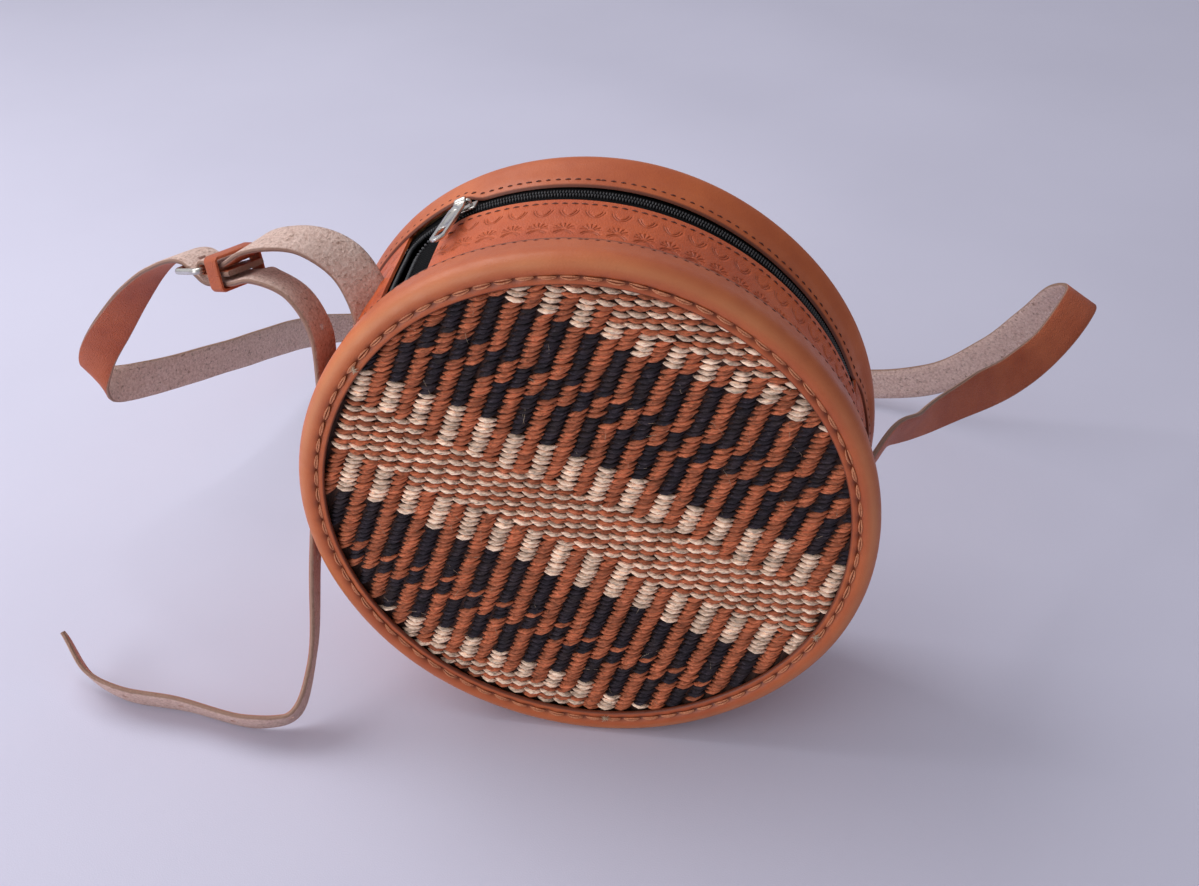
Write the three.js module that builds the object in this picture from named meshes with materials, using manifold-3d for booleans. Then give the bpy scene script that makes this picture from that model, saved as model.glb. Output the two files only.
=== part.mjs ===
// Round shoulder bag: two woven sisal discs in rolled leather rims, a leather side band with a curved
// zip, and a long leather strap that closes with a buckle.
// Millimetres, +Z up. The bag stands on its rims, front disc facing -Y, +X to the right.
// Clock angles are degrees from the top, clockwise as seen from the front.
// Depths run from the front face to the back face.

import * as THREE from 'three';
import { mergeVertices } from 'three/addons/utils/BufferGeometryUtils.js';
import Module from 'manifold-3d';

const wasm = await Module();
wasm.setup();

// Bag body
const RIM_RADIUS = 120;
const BAG_DEPTH = 92;
const LEATHER = 1.8;
const FIT = 0.3; // clearance between pieces that touch
const RIM_FACE = 12; // width of the leather ring on each face
const RIM_ROLL = 6; // radius of the rolled edge
const FACE_DIP = 0.8; // the ring's inner edge lies this far behind the face
const SIDE_DROP = 1; // fall of each flange toward the side band
const FRONT_FLANGE = 21.5; // depth covered by the front rim
const BACK_FLANGE = 16; // depth covered by the back rim
const BAND_TUCK = 9.5; // depth at which the side band starts under a rim
const SINK_RUN = 10; // depth behind the front rim over which the zip leather sinks
const PANEL_THICKNESS = 4;
const CORE_RADIUS = 2.7; // hoop inside the rolled edge
const LINING = 0.8;
const FLAT_DEPTH = 1; // how far the rims settle on the ground
const BACK_SHIFT = -5.4; // sideways offset of the back disc on the soft bag
const BACK_TURN = 0.0524; // turn of the back disc against the front one, as a slope
const FACET = 6; // degrees per facet round the bag

// Zip
const ZIP_FROM_BACK = 26; // back face to the zip's centre line
const FRONT_LIP = 9; // zip centre to the front leather edge
const BACK_LIP = 4.5; // zip centre to the back leather edge
const ZIP_LEFT = -46; // clock angles of the two ends
const ZIP_RIGHT = 72;
const ZIP_SHIFT_X = -3; // the zip's circle is off the bag's centre
const ZIP_SHIFT_Z = -2.2;
const ZIP_SWELL = 0.5; // zip circle's radius beyond the side band's
const CORNER_CLOCK = -30; // where the front leather edge turns forward
const CORNER_RADIUS = 12;
const BACK_CORNER = 10; // radius of the matching turn of the back tape
const TAPE = 0.8;
const TAPE_TUCK = 8; // width of tape hidden under the leather
const COIL_WIDTH = 2.2;
const COIL_HEIGHT = 2.2;
const COIL_GAP = 1.2; // slot between the two coils
const COIL_DROP = 0.9; // top of the coils below the leather
const STOP_LENGTH = 1.6;
const SLIDER_CLOCK = -29;
const SLIDER_LENGTH = 11;
const SLIDER_WIDTH = 7.4;
const SLIDER_PLATE = 1.2;
const BRIDGE_RADIUS = 0.75;
const BRIDGE_HEIGHT = 3.2; // bar's centre above the leather
const SLEEVE_LENGTH = 5;
const SLEEVE_WALL = 0.85;
const PULL_LENGTH = 37;
const PULL_WIDTH = 7;
const PULL_THICKNESS = 1.4;
const PULL_LIFT = 2.2; // degrees the pull's end stands up

// Strap and buckle
const STRAP_WIDTH = 19;
const STRAP_THICKNESS = 2.5;
const STRAP_STEPS = 3; // facets between two points of a route
const WIRE_RADIUS = 1.4;
const FRAME_LENGTH = 15;
const FRAME_CORNER = 2;
const SIDE_PLAY = 0.5; // strap edge to the straight part of the buckle bar
const FOLD_PLAY = 0.45; // leather fold to the bar
const PRONG_RADIUS = 1.1;
const PRONG_EYE = 3.6; // length of the prong's eye along the bar
const PRONG_REACH = 18;
const KEEPER_WIDTH = 8;
const KEEPER_THICKNESS = 1.6;
const KEEPER_CENTRE = -10.5; // along the strap from the buckle bar

// Values the pieces share
const CENTRE_HEIGHT = RIM_RADIUS - FLAT_DEPTH;
const BAND_RADIUS = RIM_RADIUS - SIDE_DROP - LEATHER - FIT;
const DEGREE = 180 / (Math.PI * BAND_RADIUS); // degrees per millimetre round the side band
const ZIP_DEPTH = BAG_DEPTH - ZIP_FROM_BACK;
const ZIP_RADIUS = BAND_RADIUS + ZIP_SWELL;
const CLOCKS = Array.from({ length: 360 / FACET }, (_, i) => i * FACET);
const bag = new THREE.Group();
bag.name = 'woven_shoulder_bag';

function smooth(value, low, high) {
  return THREE.MathUtils.smoothstep(value, low, high);
}

// Place on the bag for a radius, a clock angle and a depth, with the lean of the soft body.
function bagPoint(radius, clock, depth) {
  const angle = THREE.MathUtils.degToRad(clock);
  const across = radius * Math.sin(angle);
  const lean = depth / BAG_DEPTH - 0.5;
  const x = across + BACK_SHIFT * lean;
  const y = depth - BAG_DEPTH / 2 - BACK_TURN * across * lean;
  const z = CENTRE_HEIGHT + radius * Math.cos(angle);
  return new THREE.Vector3(x, y, Math.max(z, 0));
}

// Distance of the zip's circle from the bag's axis.
function zipRadius(clock) {
  const angle = THREE.MathUtils.degToRad(clock);
  const along = ZIP_SHIFT_X * Math.sin(angle) + ZIP_SHIFT_Z * Math.cos(angle);
  const aside = ZIP_SHIFT_X * Math.cos(angle) - ZIP_SHIFT_Z * Math.sin(angle);
  return along + Math.sqrt(ZIP_RADIUS ** 2 - aside ** 2);
}

// Outer radius of the side leather, which sinks between the rims along the zip.
function bandRadius(clock, depth) {
  const share = smooth(depth, FRONT_FLANGE, FRONT_FLANGE + SINK_RUN);
  const beyond = clock > ZIP_RIGHT ? Math.min(clock - ZIP_RIGHT, ZIP_LEFT + 360 - clock) : 0;
  const sink = Math.max(BAND_RADIUS - zipRadius(clock), 0) * (1 - smooth(beyond, 0, 30));
  return BAND_RADIUS - sink * share;
}

// Closed mesh from points and triangles, turned so that its faces look outward.
function closedMesh(points, triangles) {
  let volume = 0;
  for (const [a, b, c] of triangles) {
    volume += points[a].dot(new THREE.Vector3().crossVectors(points[b], points[c]));
  }
  const index = triangles.flatMap(([a, b, c]) => (volume > 0 ? [a, b, c] : [a, c, b]));
  const geometry = new THREE.BufferGeometry().setFromPoints(points);
  geometry.setIndex(index);
  geometry.computeVertexNormals();
  return geometry;
}

// Solid through a row of like sections. An open row is capped; its sections list the outer row of
// points and then the inner row backward.
function sweep(sections, closed) {
  const size = sections[0].length;
  const triangles = [];
  const spans = closed ? sections.length : sections.length - 1;
  for (let i = 0; i < spans; i++) {
    const here = i * size;
    const next = ((i + 1) % sections.length) * size;
    for (let j = 0; j < size; j++) {
      const k = (j + 1) % size;
      triangles.push([here + j, next + j, next + k], [here + j, next + k, here + k]);
    }
  }
  const last = (sections.length - 1) * size;
  for (let j = 0; !closed && j < size / 2 - 1; j++) {
    const [a, b, c, d] = [j, j + 1, size - 2 - j, size - 1 - j];
    triangles.push([a, b, c], [a, c, d]);
    triangles.push([last + a, last + c, last + b], [last + a, last + d, last + c]);
  }
  return closedMesh(sections.flat(), triangles);
}

// Full ring on the bag with a closed section of [radius, depth] points.
function ring(profile) {
  return sweep(CLOCKS.map((clock) => profile.map(([r, d]) => bagPoint(r, clock, d))), true);
}

// Filled drum on the bag's axis through rings at the given depths.
function drum(depths, radiusAt) {
  const count = CLOCKS.length;
  const last = (depths.length - 1) * count;
  const points = depths.flatMap((d) => CLOCKS.map((clock) => bagPoint(radiusAt(clock, d), clock, d)));
  const front = points.push(bagPoint(0, 0, depths[0])) - 1;
  const back = points.push(bagPoint(0, 0, depths.at(-1))) - 1;
  const triangles = [];
  for (let i = 0; i < count; i++) {
    const next = (i + 1) % count;
    triangles.push([front, i, next], [back, last + next, last + i]);
    for (let row = 0; row < last; row += count) {
      triangles.push([row + i, row + count + i, row + count + next]);
      triangles.push([row + i, row + count + next, row + next]);
    }
  }
  return closedMesh(points, triangles);
}

// Strip that follows the side leather at a drop below it; each station is a row of [clock, depth].
function shell(stations, drop, thickness) {
  const sections = stations.map((row) => {
    const at = (extra) => row.map(([c, d]) => bagPoint(bandRadius(c, d) - drop - extra, c, d));
    return [...at(0), ...at(thickness).reverse()];
  });
  return sweep(sections, false);
}

// Clock angles from one end to another in steps of one facet or less.
function clocksBetween(from, to) {
  const count = Math.ceil(Math.abs(to - from) / FACET);
  return Array.from({ length: count + 1 }, (_, i) => from + ((to - from) * i) / count);
}

function solid(geometry) {
  const plain = geometry.clone();
  plain.deleteAttribute('normal');
  plain.deleteAttribute('uv');
  const merged = mergeVertices(plain, 1e-4);
  const vertProperties = new Float32Array(merged.attributes.position.array);
  const triVerts = new Uint32Array(merged.index.array);
  return new wasm.Manifold(new wasm.Mesh({ numProp: 3, vertProperties, triVerts }));
}

function surface(manifold) {
  const mesh = manifold.getMesh();
  const geometry = new THREE.BufferGeometry();
  geometry.setAttribute('position', new THREE.BufferAttribute(mesh.vertProperties, 3));
  geometry.setIndex(new THREE.BufferAttribute(mesh.triVerts, 1));
  geometry.computeVertexNormals();
  return geometry;
}

function joined(geometries) {
  return surface(geometries.map(solid).reduce((whole, piece) => whole.add(piece)));
}

function cutBy(geometry, cutters) {
  return surface(cutters.map(solid).reduce((whole, cutter) => whole.subtract(cutter), solid(geometry)));
}

function block(x0, x1, y0, y1, z0, z1) {
  const box = new THREE.BoxGeometry(x1 - x0, y1 - y0, z1 - z0);
  return box.translate((x0 + x1) / 2, (y0 + y1) / 2, (z0 + z1) / 2);
}

// Round rod or tube along the local X axis.
function rod(radius, length, hole = 0) {
  const shape = new THREE.Shape().absarc(0, 0, radius, 0, 2 * Math.PI);
  if (hole > 0) {
    shape.holes.push(new THREE.Path().absarc(0, 0, hole, 0, 2 * Math.PI, true));
  }
  const settings = { depth: length, bevelEnabled: false, curveSegments: 10 };
  const extruded = new THREE.ExtrudeGeometry(shape, settings);
  return extruded.translate(0, 0, -length / 2).rotateY(Math.PI / 2);
}

function add(name, geometry, material) {
  const mesh = new THREE.Mesh(geometry, new THREE.MeshStandardMaterial(material));
  mesh.name = name;
  bag.add(mesh);
}

const RIM_LEATHER = { color: 0xbd6a42, roughness: 0.55, metalness: 0 };
const BAND_LEATHER = { color: 0xb9653f, roughness: 0.5, metalness: 0 };
const STRAP_LEATHER = { color: 0xc4855f, roughness: 0.7, metalness: 0 };
const SISAL = { color: 0x9a5c3c, roughness: 0.9, metalness: 0 };
const CORE_CANE = { color: 0xb08a58, roughness: 0.8, metalness: 0 };
const BLACK_CLOTH = { color: 0x17171a, roughness: 0.95, metalness: 0 };
const BLACK_COIL = { color: 0x2c2c30, roughness: 0.45, metalness: 0 };
const NICKEL = { color: 0xc9c8c6, roughness: 0.25, metalness: 1 };

// Rims: a leather ring that rolls over a hoop and runs back on to the side.
const FACE_INNER = RIM_RADIUS - RIM_FACE;
const ROLL_TURNS = [0, 30, 60, 90];

function rollArc(radius) {
  return ROLL_TURNS.map((turn) => {
    const angle = THREE.MathUtils.degToRad(turn);
    const r = RIM_RADIUS - RIM_ROLL + radius * Math.sin(angle);
    return [r, RIM_ROLL - radius * Math.cos(angle)];
  });
}

function rimProfile(flange) {
  const outer = [[FACE_INNER, FACE_DIP], ...rollArc(RIM_ROLL), [RIM_RADIUS - SIDE_DROP, flange]];
  const inner = [
    [FACE_INNER, FACE_DIP + LEATHER],
    ...rollArc(RIM_ROLL - LEATHER),
    [RIM_RADIUS - SIDE_DROP - LEATHER, flange],
  ];
  return [...outer, ...inner.reverse()];
}

const CORE_INSET = RIM_ROLL - 0.4; // centre of the hoop from the rim's edge and face
const PANEL_RADIUS = RIM_RADIUS - CORE_INSET - CORE_RADIUS - FIT;
const PANEL_FRONT = FACE_DIP + LEATHER + FIT;
const PANEL_BACK = PANEL_FRONT + PANEL_THICKNESS;
const LINING_FRONT = PANEL_BACK + FIT;
const coreProfile = Array.from({ length: 6 }, (_, i) => {
  const angle = (i * Math.PI) / 3;
  const r = RIM_RADIUS - CORE_INSET + CORE_RADIUS * Math.cos(angle);
  return [r, CORE_INSET + CORE_RADIUS * Math.sin(angle)];
});

for (const side of ['front', 'back']) {
  const flange = side === 'front' ? FRONT_FLANGE : BACK_FLANGE;
  const place = (depth) => (side === 'front' ? depth : BAG_DEPTH - depth);
  const placed = (profile) => profile.map(([r, d]) => [r, place(d)]);
  const lining = [place(LINING_FRONT), place(LINING_FRONT + LINING)];
  add(`${side}_rim_binding`, ring(placed(rimProfile(flange))), RIM_LEATHER);
  add(`${side}_rim_core`, ring(placed(coreProfile)), CORE_CANE);
  add(`${side}_woven_panel`, drum([place(PANEL_FRONT), place(PANEL_BACK)], () => PANEL_RADIUS), SISAL);
  add(`${side}_lining`, drum(lining, () => PANEL_RADIUS), BLACK_CLOTH);
}

// Side band below the zip and its lining.
const LOWER_END = ZIP_LEFT + 360;
const SEAM = FIT * DEGREE;
const bandDepths = [0, 0.16, 0.3, 0.5, 0.68, 0.84, 1].map((share) => {
  return BAND_TUCK + share * (BAG_DEPTH - 2 * BAND_TUCK);
});
const lowerClocks = clocksBetween(ZIP_RIGHT, LOWER_END);
const lowerRows = lowerClocks.map((c) => bandDepths.map((d) => [c, d]));
add('lower_gusset_band', shell(lowerRows, 0, LEATHER), BAND_LEATHER);
const liningClocks = clocksBetween(ZIP_RIGHT + 4, LOWER_END - 4);
const liningRows = liningClocks.map((c) => bandDepths.map((d) => [c, d]));
add('gusset_lining', shell(liningRows, LEATHER + TAPE + 2 * FIT, LINING), BLACK_CLOTH);

// Leather in front of the zip, with a rounded upper left corner at the open mouth.
const FRONT_EDGE = ZIP_DEPTH - FRONT_LIP;
const BACK_EDGE = ZIP_DEPTH + BACK_LIP;
const CORNER_DEPTH = FRONT_EDGE - CORNER_RADIUS;
const CORNER_TURNS = [15, 32, 50, 70, 90];

const cornerClocks = CORNER_TURNS.toReversed().map((turn) => {
  return CORNER_CLOCK - CORNER_RADIUS * DEGREE * Math.sin(THREE.MathUtils.degToRad(turn));
});

function frontEdgeDepth(clock) {
  const past = Math.min(Math.max(CORNER_CLOCK - clock, 0) / DEGREE, CORNER_RADIUS);
  return CORNER_DEPTH + Math.sqrt(CORNER_RADIUS ** 2 - past ** 2);
}

const frontClocks = [...cornerClocks, ...clocksBetween(CORNER_CLOCK, ZIP_RIGHT - SEAM)];
const frontRows = frontClocks.map((clock) => {
  const width = frontEdgeDepth(clock) - BAND_TUCK;
  return [0, 0.25, 0.45, 0.65, 0.82, 1].map((share) => [clock, BAND_TUCK + share * width]);
});
add('front_zip_band', shell(frontRows, 0, LEATHER), BAND_LEATHER);

const backClocks = clocksBetween(ZIP_LEFT + SEAM, ZIP_RIGHT - SEAM);
const backRows = backClocks.map((clock) => {
  return [0, 0.5, 1].map((share) => [clock, BACK_EDGE + share * (BAG_DEPTH - BAND_TUCK - BACK_EDGE)]);
});
add('back_zip_band', shell(backRows, 0, LEATHER), BAND_LEATHER);

// Line along the front leather edge, moved outward by an offset: along the zip, round the corner and
// forward beside the mouth.
const TAPE_RIGHT = ZIP_RIGHT - 1;
const LEG_DEPTH = FRONT_FLANGE + FIT;
const LEG_SHARES = [0.5, 1];

function frontLine(offset) {
  const straight = clocksBetween(TAPE_RIGHT, CORNER_CLOCK).map((clock) => [clock, FRONT_EDGE + offset]);
  const corner = CORNER_TURNS.map((turn) => {
    const angle = THREE.MathUtils.degToRad(turn);
    const reach = CORNER_RADIUS + offset;
    return [CORNER_CLOCK - reach * DEGREE * Math.sin(angle), CORNER_DEPTH + reach * Math.cos(angle)];
  });
  const side = CORNER_CLOCK - (CORNER_RADIUS + offset) * DEGREE;
  const leg = LEG_SHARES.map((share) => [side, CORNER_DEPTH + share * (LEG_DEPTH - CORNER_DEPTH)]);
  return [...straight, ...corner, ...leg];
}

// The same for the back: along the zip, then forward along the end of the side band.
function backLine(offset) {
  const start = ZIP_LEFT + BACK_CORNER * DEGREE;
  const depth = BACK_EDGE - BACK_CORNER;
  const reach = BACK_CORNER - offset;
  const straight = clocksBetween(TAPE_RIGHT, start).map((clock) => [clock, BACK_EDGE - offset]);
  const corner = [22, 45, 68, 90].map((turn) => {
    const angle = THREE.MathUtils.degToRad(turn);
    return [start - reach * DEGREE * Math.sin(angle), depth + reach * Math.cos(angle)];
  });
  const side = ZIP_LEFT + offset * DEGREE;
  const leg = LEG_SHARES.map((share) => [side, depth + share * (LEG_DEPTH - depth)]);
  return [...straight, ...corner, ...leg];
}

function between(line, from, to) {
  const far = line(to);
  return line(from).map((point, i) => [point, far[i]]);
}

const TAPE_DROP = LEATHER + FIT;
const FRONT_COIL_EDGE = FRONT_LIP - COIL_GAP / 2;
const BACK_COIL_EDGE = BACK_LIP - COIL_GAP / 2;

const zipSides = [
  ['front', frontLine, FRONT_COIL_EDGE],
  ['back', backLine, BACK_COIL_EDGE],
];

for (const [side, line, edge] of zipSides) {
  const tape = between(line, -TAPE_TUCK, edge - COIL_WIDTH - FIT);
  const coil = between(line, edge - COIL_WIDTH, edge);
  add(`${side}_zip_tape`, shell(tape, TAPE_DROP, TAPE), BLACK_CLOTH);
  add(`${side}_zip_teeth`, shell(coil, COIL_DROP, COIL_HEIGHT), BLACK_COIL);
}

const stopClocks = [TAPE_RIGHT + SEAM, TAPE_RIGHT + SEAM + STOP_LENGTH * DEGREE];
const STOP_HALF = COIL_GAP / 2 + COIL_WIDTH;
const stopRows = stopClocks.map((c) => [[c, ZIP_DEPTH - STOP_HALF], [c, ZIP_DEPTH + STOP_HALF]]);
add('zip_end_stop', shell(stopRows, COIL_DROP, COIL_HEIGHT), NICKEL);

// Slider: two plates joined by a web in the slot between the coils, with a bridge on top.
// Local X runs along the zip, Y to the back and Z away from the bag.
const zipLean = ZIP_DEPTH / BAG_DEPTH - 0.5;
const zipCentre = new THREE.Vector3(
  ZIP_SHIFT_X + BACK_SHIFT * zipLean,
  ZIP_DEPTH - BAG_DEPTH / 2 - BACK_TURN * zipLean * ZIP_SHIFT_X,
  CENTRE_HEIGHT + ZIP_SHIFT_Z,
);
const zipAxis = new THREE.Vector3(BACK_TURN * zipLean, 1, 0).normalize();
const sliderPoint = bagPoint(zipRadius(SLIDER_CLOCK), SLIDER_CLOCK, ZIP_DEPTH);
const sliderUp = sliderPoint.clone().sub(zipCentre).normalize();
const sliderAlong = new THREE.Vector3().crossVectors(zipAxis, sliderUp);
const sliderPlace = new THREE.Matrix4().makeBasis(sliderAlong, zipAxis, sliderUp).setPosition(sliderPoint);

const SLIDER_X = SLIDER_LENGTH / 2;
const SLIDER_Y = SLIDER_WIDTH / 2;
const TOP_LOW = FIT - COIL_DROP;
const TOP_HIGH = TOP_LOW + SLIDER_PLATE;
const BOTTOM_HIGH = -COIL_DROP - COIL_HEIGHT - 0.7;
const WEB_HALF = COIL_GAP / 2 - FIT;
const POST_IN = SLEEVE_LENGTH / 2 + FIT;
const POST_OUT = POST_IN + 1.2;
const slider = joined([
  block(-SLIDER_X, SLIDER_X, -SLIDER_Y, SLIDER_Y, TOP_LOW, TOP_HIGH),
  block(-SLIDER_X, SLIDER_X, -SLIDER_Y, SLIDER_Y, BOTTOM_HIGH - SLIDER_PLATE, BOTTOM_HIGH),
  block(1 - SLIDER_X, 4 - SLIDER_X, -WEB_HALF, WEB_HALF, BOTTOM_HIGH - 0.2, TOP_LOW + 0.2),
  block(-POST_OUT, -POST_IN, -0.8, 0.8, TOP_HIGH - 0.2, BRIDGE_HEIGHT),
  block(POST_IN, POST_OUT, -0.8, 0.8, TOP_HIGH - 0.2, BRIDGE_HEIGHT),
  rod(BRIDGE_RADIUS, 2 * POST_OUT - 0.4).translate(0, 0, BRIDGE_HEIGHT),
]);
add('zip_slider', slider.applyMatrix4(sliderPlace), NICKEL);

// Pull: a sleeve on the bridge bar and a plate with an open lower end.
const SLEEVE_HOLE = BRIDGE_RADIUS + FIT;
const SLEEVE_RADIUS = SLEEVE_HOLE + SLEEVE_WALL;
const PLATE_START = SLEEVE_HOLE + SLEEVE_WALL / 2;
const half = PULL_WIDTH / 2;
const outline = new THREE.Shape();
outline.moveTo(-SLEEVE_LENGTH / 2, -PLATE_START);
outline.lineTo(-half, -PLATE_START - 6);
outline.lineTo(-half, half - PULL_LENGTH);
outline.absarc(0, half - PULL_LENGTH, half, Math.PI, 2 * Math.PI);
outline.lineTo(half, -PLATE_START - 6);
outline.lineTo(SLEEVE_LENGTH / 2, -PLATE_START);
outline.closePath();
const slot = new THREE.Path();
const slotHalf = half - 1.6;
slot.absarc(0, half - PULL_LENGTH, slotHalf, Math.PI, 2 * Math.PI);
slot.absarc(0, half - PULL_LENGTH + 8, slotHalf, 0, Math.PI);
slot.closePath();
outline.holes.push(slot);
const plateSettings = { depth: PULL_THICKNESS, bevelEnabled: false, curveSegments: 6 };
const plate = new THREE.ExtrudeGeometry(outline, plateSettings).translate(0, 0, -PULL_THICKNESS / 2);
const pull = joined([plate, rod(SLEEVE_RADIUS, SLEEVE_LENGTH, SLEEVE_HOLE)]);
pull.rotateX(-THREE.MathUtils.degToRad(PULL_LIFT));
add('zip_pull', pull.translate(0, 0, BRIDGE_HEIGHT).applyMatrix4(sliderPlace), NICKEL);

// Buckle place: along points from the bar to the far end of the frame, across along the bar, and
// out to the side on which the prong lies.
const buckleBar = new THREE.Vector3(-165.4, 13.6, 190);
const buckleAlong = new THREE.Vector3(-0.844, 0.445, -0.301).normalize();
const buckleAcross = new THREE.Vector3(0.486, 0.871, -0.075);
buckleAcross.addScaledVector(buckleAlong, -buckleAcross.dot(buckleAlong)).normalize();
const buckleOut = new THREE.Vector3().crossVectors(buckleAlong, buckleAcross);
const bucklePlace = new THREE.Matrix4().makeBasis(buckleAlong, buckleAcross, buckleOut);
bucklePlace.setPosition(buckleBar);

const FOLD_RADIUS = WIRE_RADIUS + FOLD_PLAY + STRAP_THICKNESS / 2;
const UNDER = FOLD_RADIUS + STRAP_THICKNESS + FIT; // long strap below the fold
const OVER = WIRE_RADIUS + FIT + STRAP_THICKNESS / 2; // long strap above the frame's far end

// Point of a route at the buckle, with the strap's width along the bar.
function atBuckle(along, out, sign) {
  const point = new THREE.Vector3(along, 0, out).applyMatrix4(bucklePlace);
  return [...point.toArray(), ...buckleAcross.clone().multiplyScalar(sign).toArray()];
}

const foldTurn = [0, 45, 90, 135, 180].map((turn) => {
  const angle = THREE.MathUtils.degToRad(turn);
  return atBuckle(FOLD_RADIUS * Math.sin(angle), -FOLD_RADIUS * Math.cos(angle), 1);
});

// Routes: each row is a point on the strap's centre line and the direction across its width.
const shortRoute = [
  [-90, -6, 172, 0.53, 0.74, 0.4],
  [-96, -1, 191, 0.53, 0.74, 0.4],
  [-105, 2, 203, 0.45, 0.86, 0.3],
  [-120, 3, 210, 0.23, 0.96, 0.15],
  [-135, 4, 209, 0.1, 0.97, 0.03],
  [-146, 6, 204, 0.25, 0.95, -0.04],
  atBuckle(-12, -1.6, 1),
  ...foldTurn,
  atBuckle(-12, 1.8, 1),
  atBuckle(-18, 1.6, 1),
];
const longRoute = [
  [113, -1, 123, 0, -0.7, 0.7],
  [124, 25, 127, 0, -0.66, 0.75],
  [133, 43, 121, 0, -0.58, 0.8],
  [147, 70, 113, -0.2, -0.37, 0.9],
  [164, 96, 108, -0.4, -0.1, 0.88],
  [182, 123, 103, -0.5, 0.14, 0.82],
  [200, 147, 107, -0.56, 0.29, 0.75],
  [213, 168, 116, -0.76, 0.23, 0.55],
  [217, 182, 117, -0.84, 0.18, 0.46],
  [210, 197, 107, -0.75, 0.13, 0.6],
  [199, 211, 83, -0.55, 0.14, 0.75],
  [182, 221, 57, -0.35, 0.1, 0.88],
  [155, 231, 31, -0.15, 0.03, 0.97],
  [107, 246, 13, 0, 0, 1],
  [25, 261, 10, 0, 0, 1],
  [-76, 270, 10, 0, 0, 1],
  [-156, 268, 11, 0, 0, 1],
  [-199, 247, 19, 0, 0, 1],
  [-212, 205, 38, 0, 0, 1],
  [-228, 137, 62, 0, 0, 1],
  [-250, 90, 75, -0.1, 0, 1],
  [-261, 73, 81, -0.4, 0.1, 0.85],
  [-264, 64, 90, -0.8, 0.32, 0.6],
  [-259, 59, 104, -0.85, 0.03, 0.5],
  [-243, 52, 128, -0.74, -0.37, 0.3],
  [-218, 42, 160, -0.48, -0.71, 0.2],
  [-200, 33, 177, -0.35, -0.9, 0.15],
  atBuckle(FRAME_LENGTH, -OVER, -1),
  atBuckle(UNDER * 0.56, UNDER * 0.85, -1),
  atBuckle(0, UNDER + 0.2, -1),
  atBuckle(-15, UNDER + 0.3, -1),
  [-141, -1, 194, -0.2, -0.95, 0.12],
  [-128, -8, 191, -0.38, -0.86, 0],
  [-119, -14, 177, -0.48, -0.81, -0.1],
  [-119, -18, 152, -0.18, -0.9, 0.05],
  [-122, -25, 118, 0.04, -0.95, 0.22],
  [-119, -41, 76, 0.07, -0.95, 0.27],
  [-117, -56, 34, 0.14, -0.95, 0.3],
  [-124, -65, 12, 0.08, -0.9, 0.42],
  [-140, -69, 7, 0.02, -0.86, 0.5],
  [-177, -68, 7, 0.02, -0.9, 0.44],
  [-207, -68, 7, 0.07, -0.93, 0.3],
  [-225, -62, 11, 0.12, -0.88, 0.45],
  [-240, -51, 22, 0.12, -0.8, 0.55],
];

function ribbon(route) {
  const curve = new THREE.CatmullRomCurve3(route.map(([x, y, z]) => new THREE.Vector3(x, y, z)));
  const widths = route.map(([, , , x, y, z]) => new THREE.Vector3(x, y, z));
  const count = (route.length - 1) * STRAP_STEPS;
  const sections = [];
  for (let i = 0; i <= count; i++) {
    const leg = Math.min(Math.floor(i / STRAP_STEPS), route.length - 2);
    const tangent = curve.getTangent(i / count);
    const across = widths[leg].clone().lerp(widths[leg + 1], i / STRAP_STEPS - leg);
    across.addScaledVector(tangent, -across.dot(tangent)).setLength(STRAP_WIDTH / 2);
    const rise = new THREE.Vector3().crossVectors(tangent, across).setLength(STRAP_THICKNESS / 2);
    const corner = (a, b) => {
      return curve.getPoint(i / count).addScaledVector(across, a).addScaledVector(rise, b);
    };
    sections.push([corner(1, 1), corner(-1, 1), corner(-1, -1), corner(1, -1)]);
  }
  return sweep(sections, false);
}

// The strap ends stop at the side leather. The fold and the long strap are slotted for the prong.
const sideFace = drum(bandDepths, (clock, depth) => {
  return bandRadius(((clock - ZIP_LEFT) % 360) + ZIP_LEFT, depth) + FIT;
});
const EYE_HALF = PRONG_EYE / 2 + 0.6;
const foldSlot = block(-4.6, FOLD_RADIUS + STRAP_THICKNESS, -EYE_HALF, EYE_HALF, -6, 6);
const holeHalf = PRONG_RADIUS + 0.9;
const prongHole = block(0.5, 12, -holeHalf, holeHalf, -5, 10);
const shortStrap = cutBy(ribbon(shortRoute), [sideFace, foldSlot.applyMatrix4(bucklePlace)]);
const longStrap = cutBy(ribbon(longRoute), [sideFace, prongHole.applyMatrix4(bucklePlace)]);
add('buckle_strap', shortStrap, STRAP_LEATHER);
add('shoulder_strap', longStrap, STRAP_LEATHER);

// Closed loop of a wire or strip along a rounded rectangle in the local plane of two axes.
function roundedLoop(low, high, side, radius, section) {
  const centres = [[high, side, 0], [low, side, 90], [low, -side, 180], [high, -side, 270]];
  const sections = [];
  for (const [u, v, start] of centres) {
    for (const turn of [0, 30, 60, 90]) {
      const angle = THREE.MathUtils.degToRad(start + turn);
      const [c, s] = [Math.cos(angle), Math.sin(angle)];
      const inU = u - Math.sign(u - (low + high) / 2) * radius;
      const inV = v - Math.sign(v) * radius;
      sections.push(section(inU, inV, c, s, radius));
    }
  }
  return sweep(sections, true);
}

const frameHalf = STRAP_WIDTH / 2 + SIDE_PLAY + FRAME_CORNER;
const wire = (u, v, c, s, radius) => Array.from({ length: 8 }, (_, i) => {
  const angle = (i * Math.PI) / 4;
  const reach = radius + WIRE_RADIUS * Math.cos(angle);
  return new THREE.Vector3(u + reach * c, v + reach * s, WIRE_RADIUS * Math.sin(angle));
});
const frame = roundedLoop(0, FRAME_LENGTH, frameHalf, FRAME_CORNER, wire);
add('buckle_frame', frame.applyMatrix4(bucklePlace), NICKEL);

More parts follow.
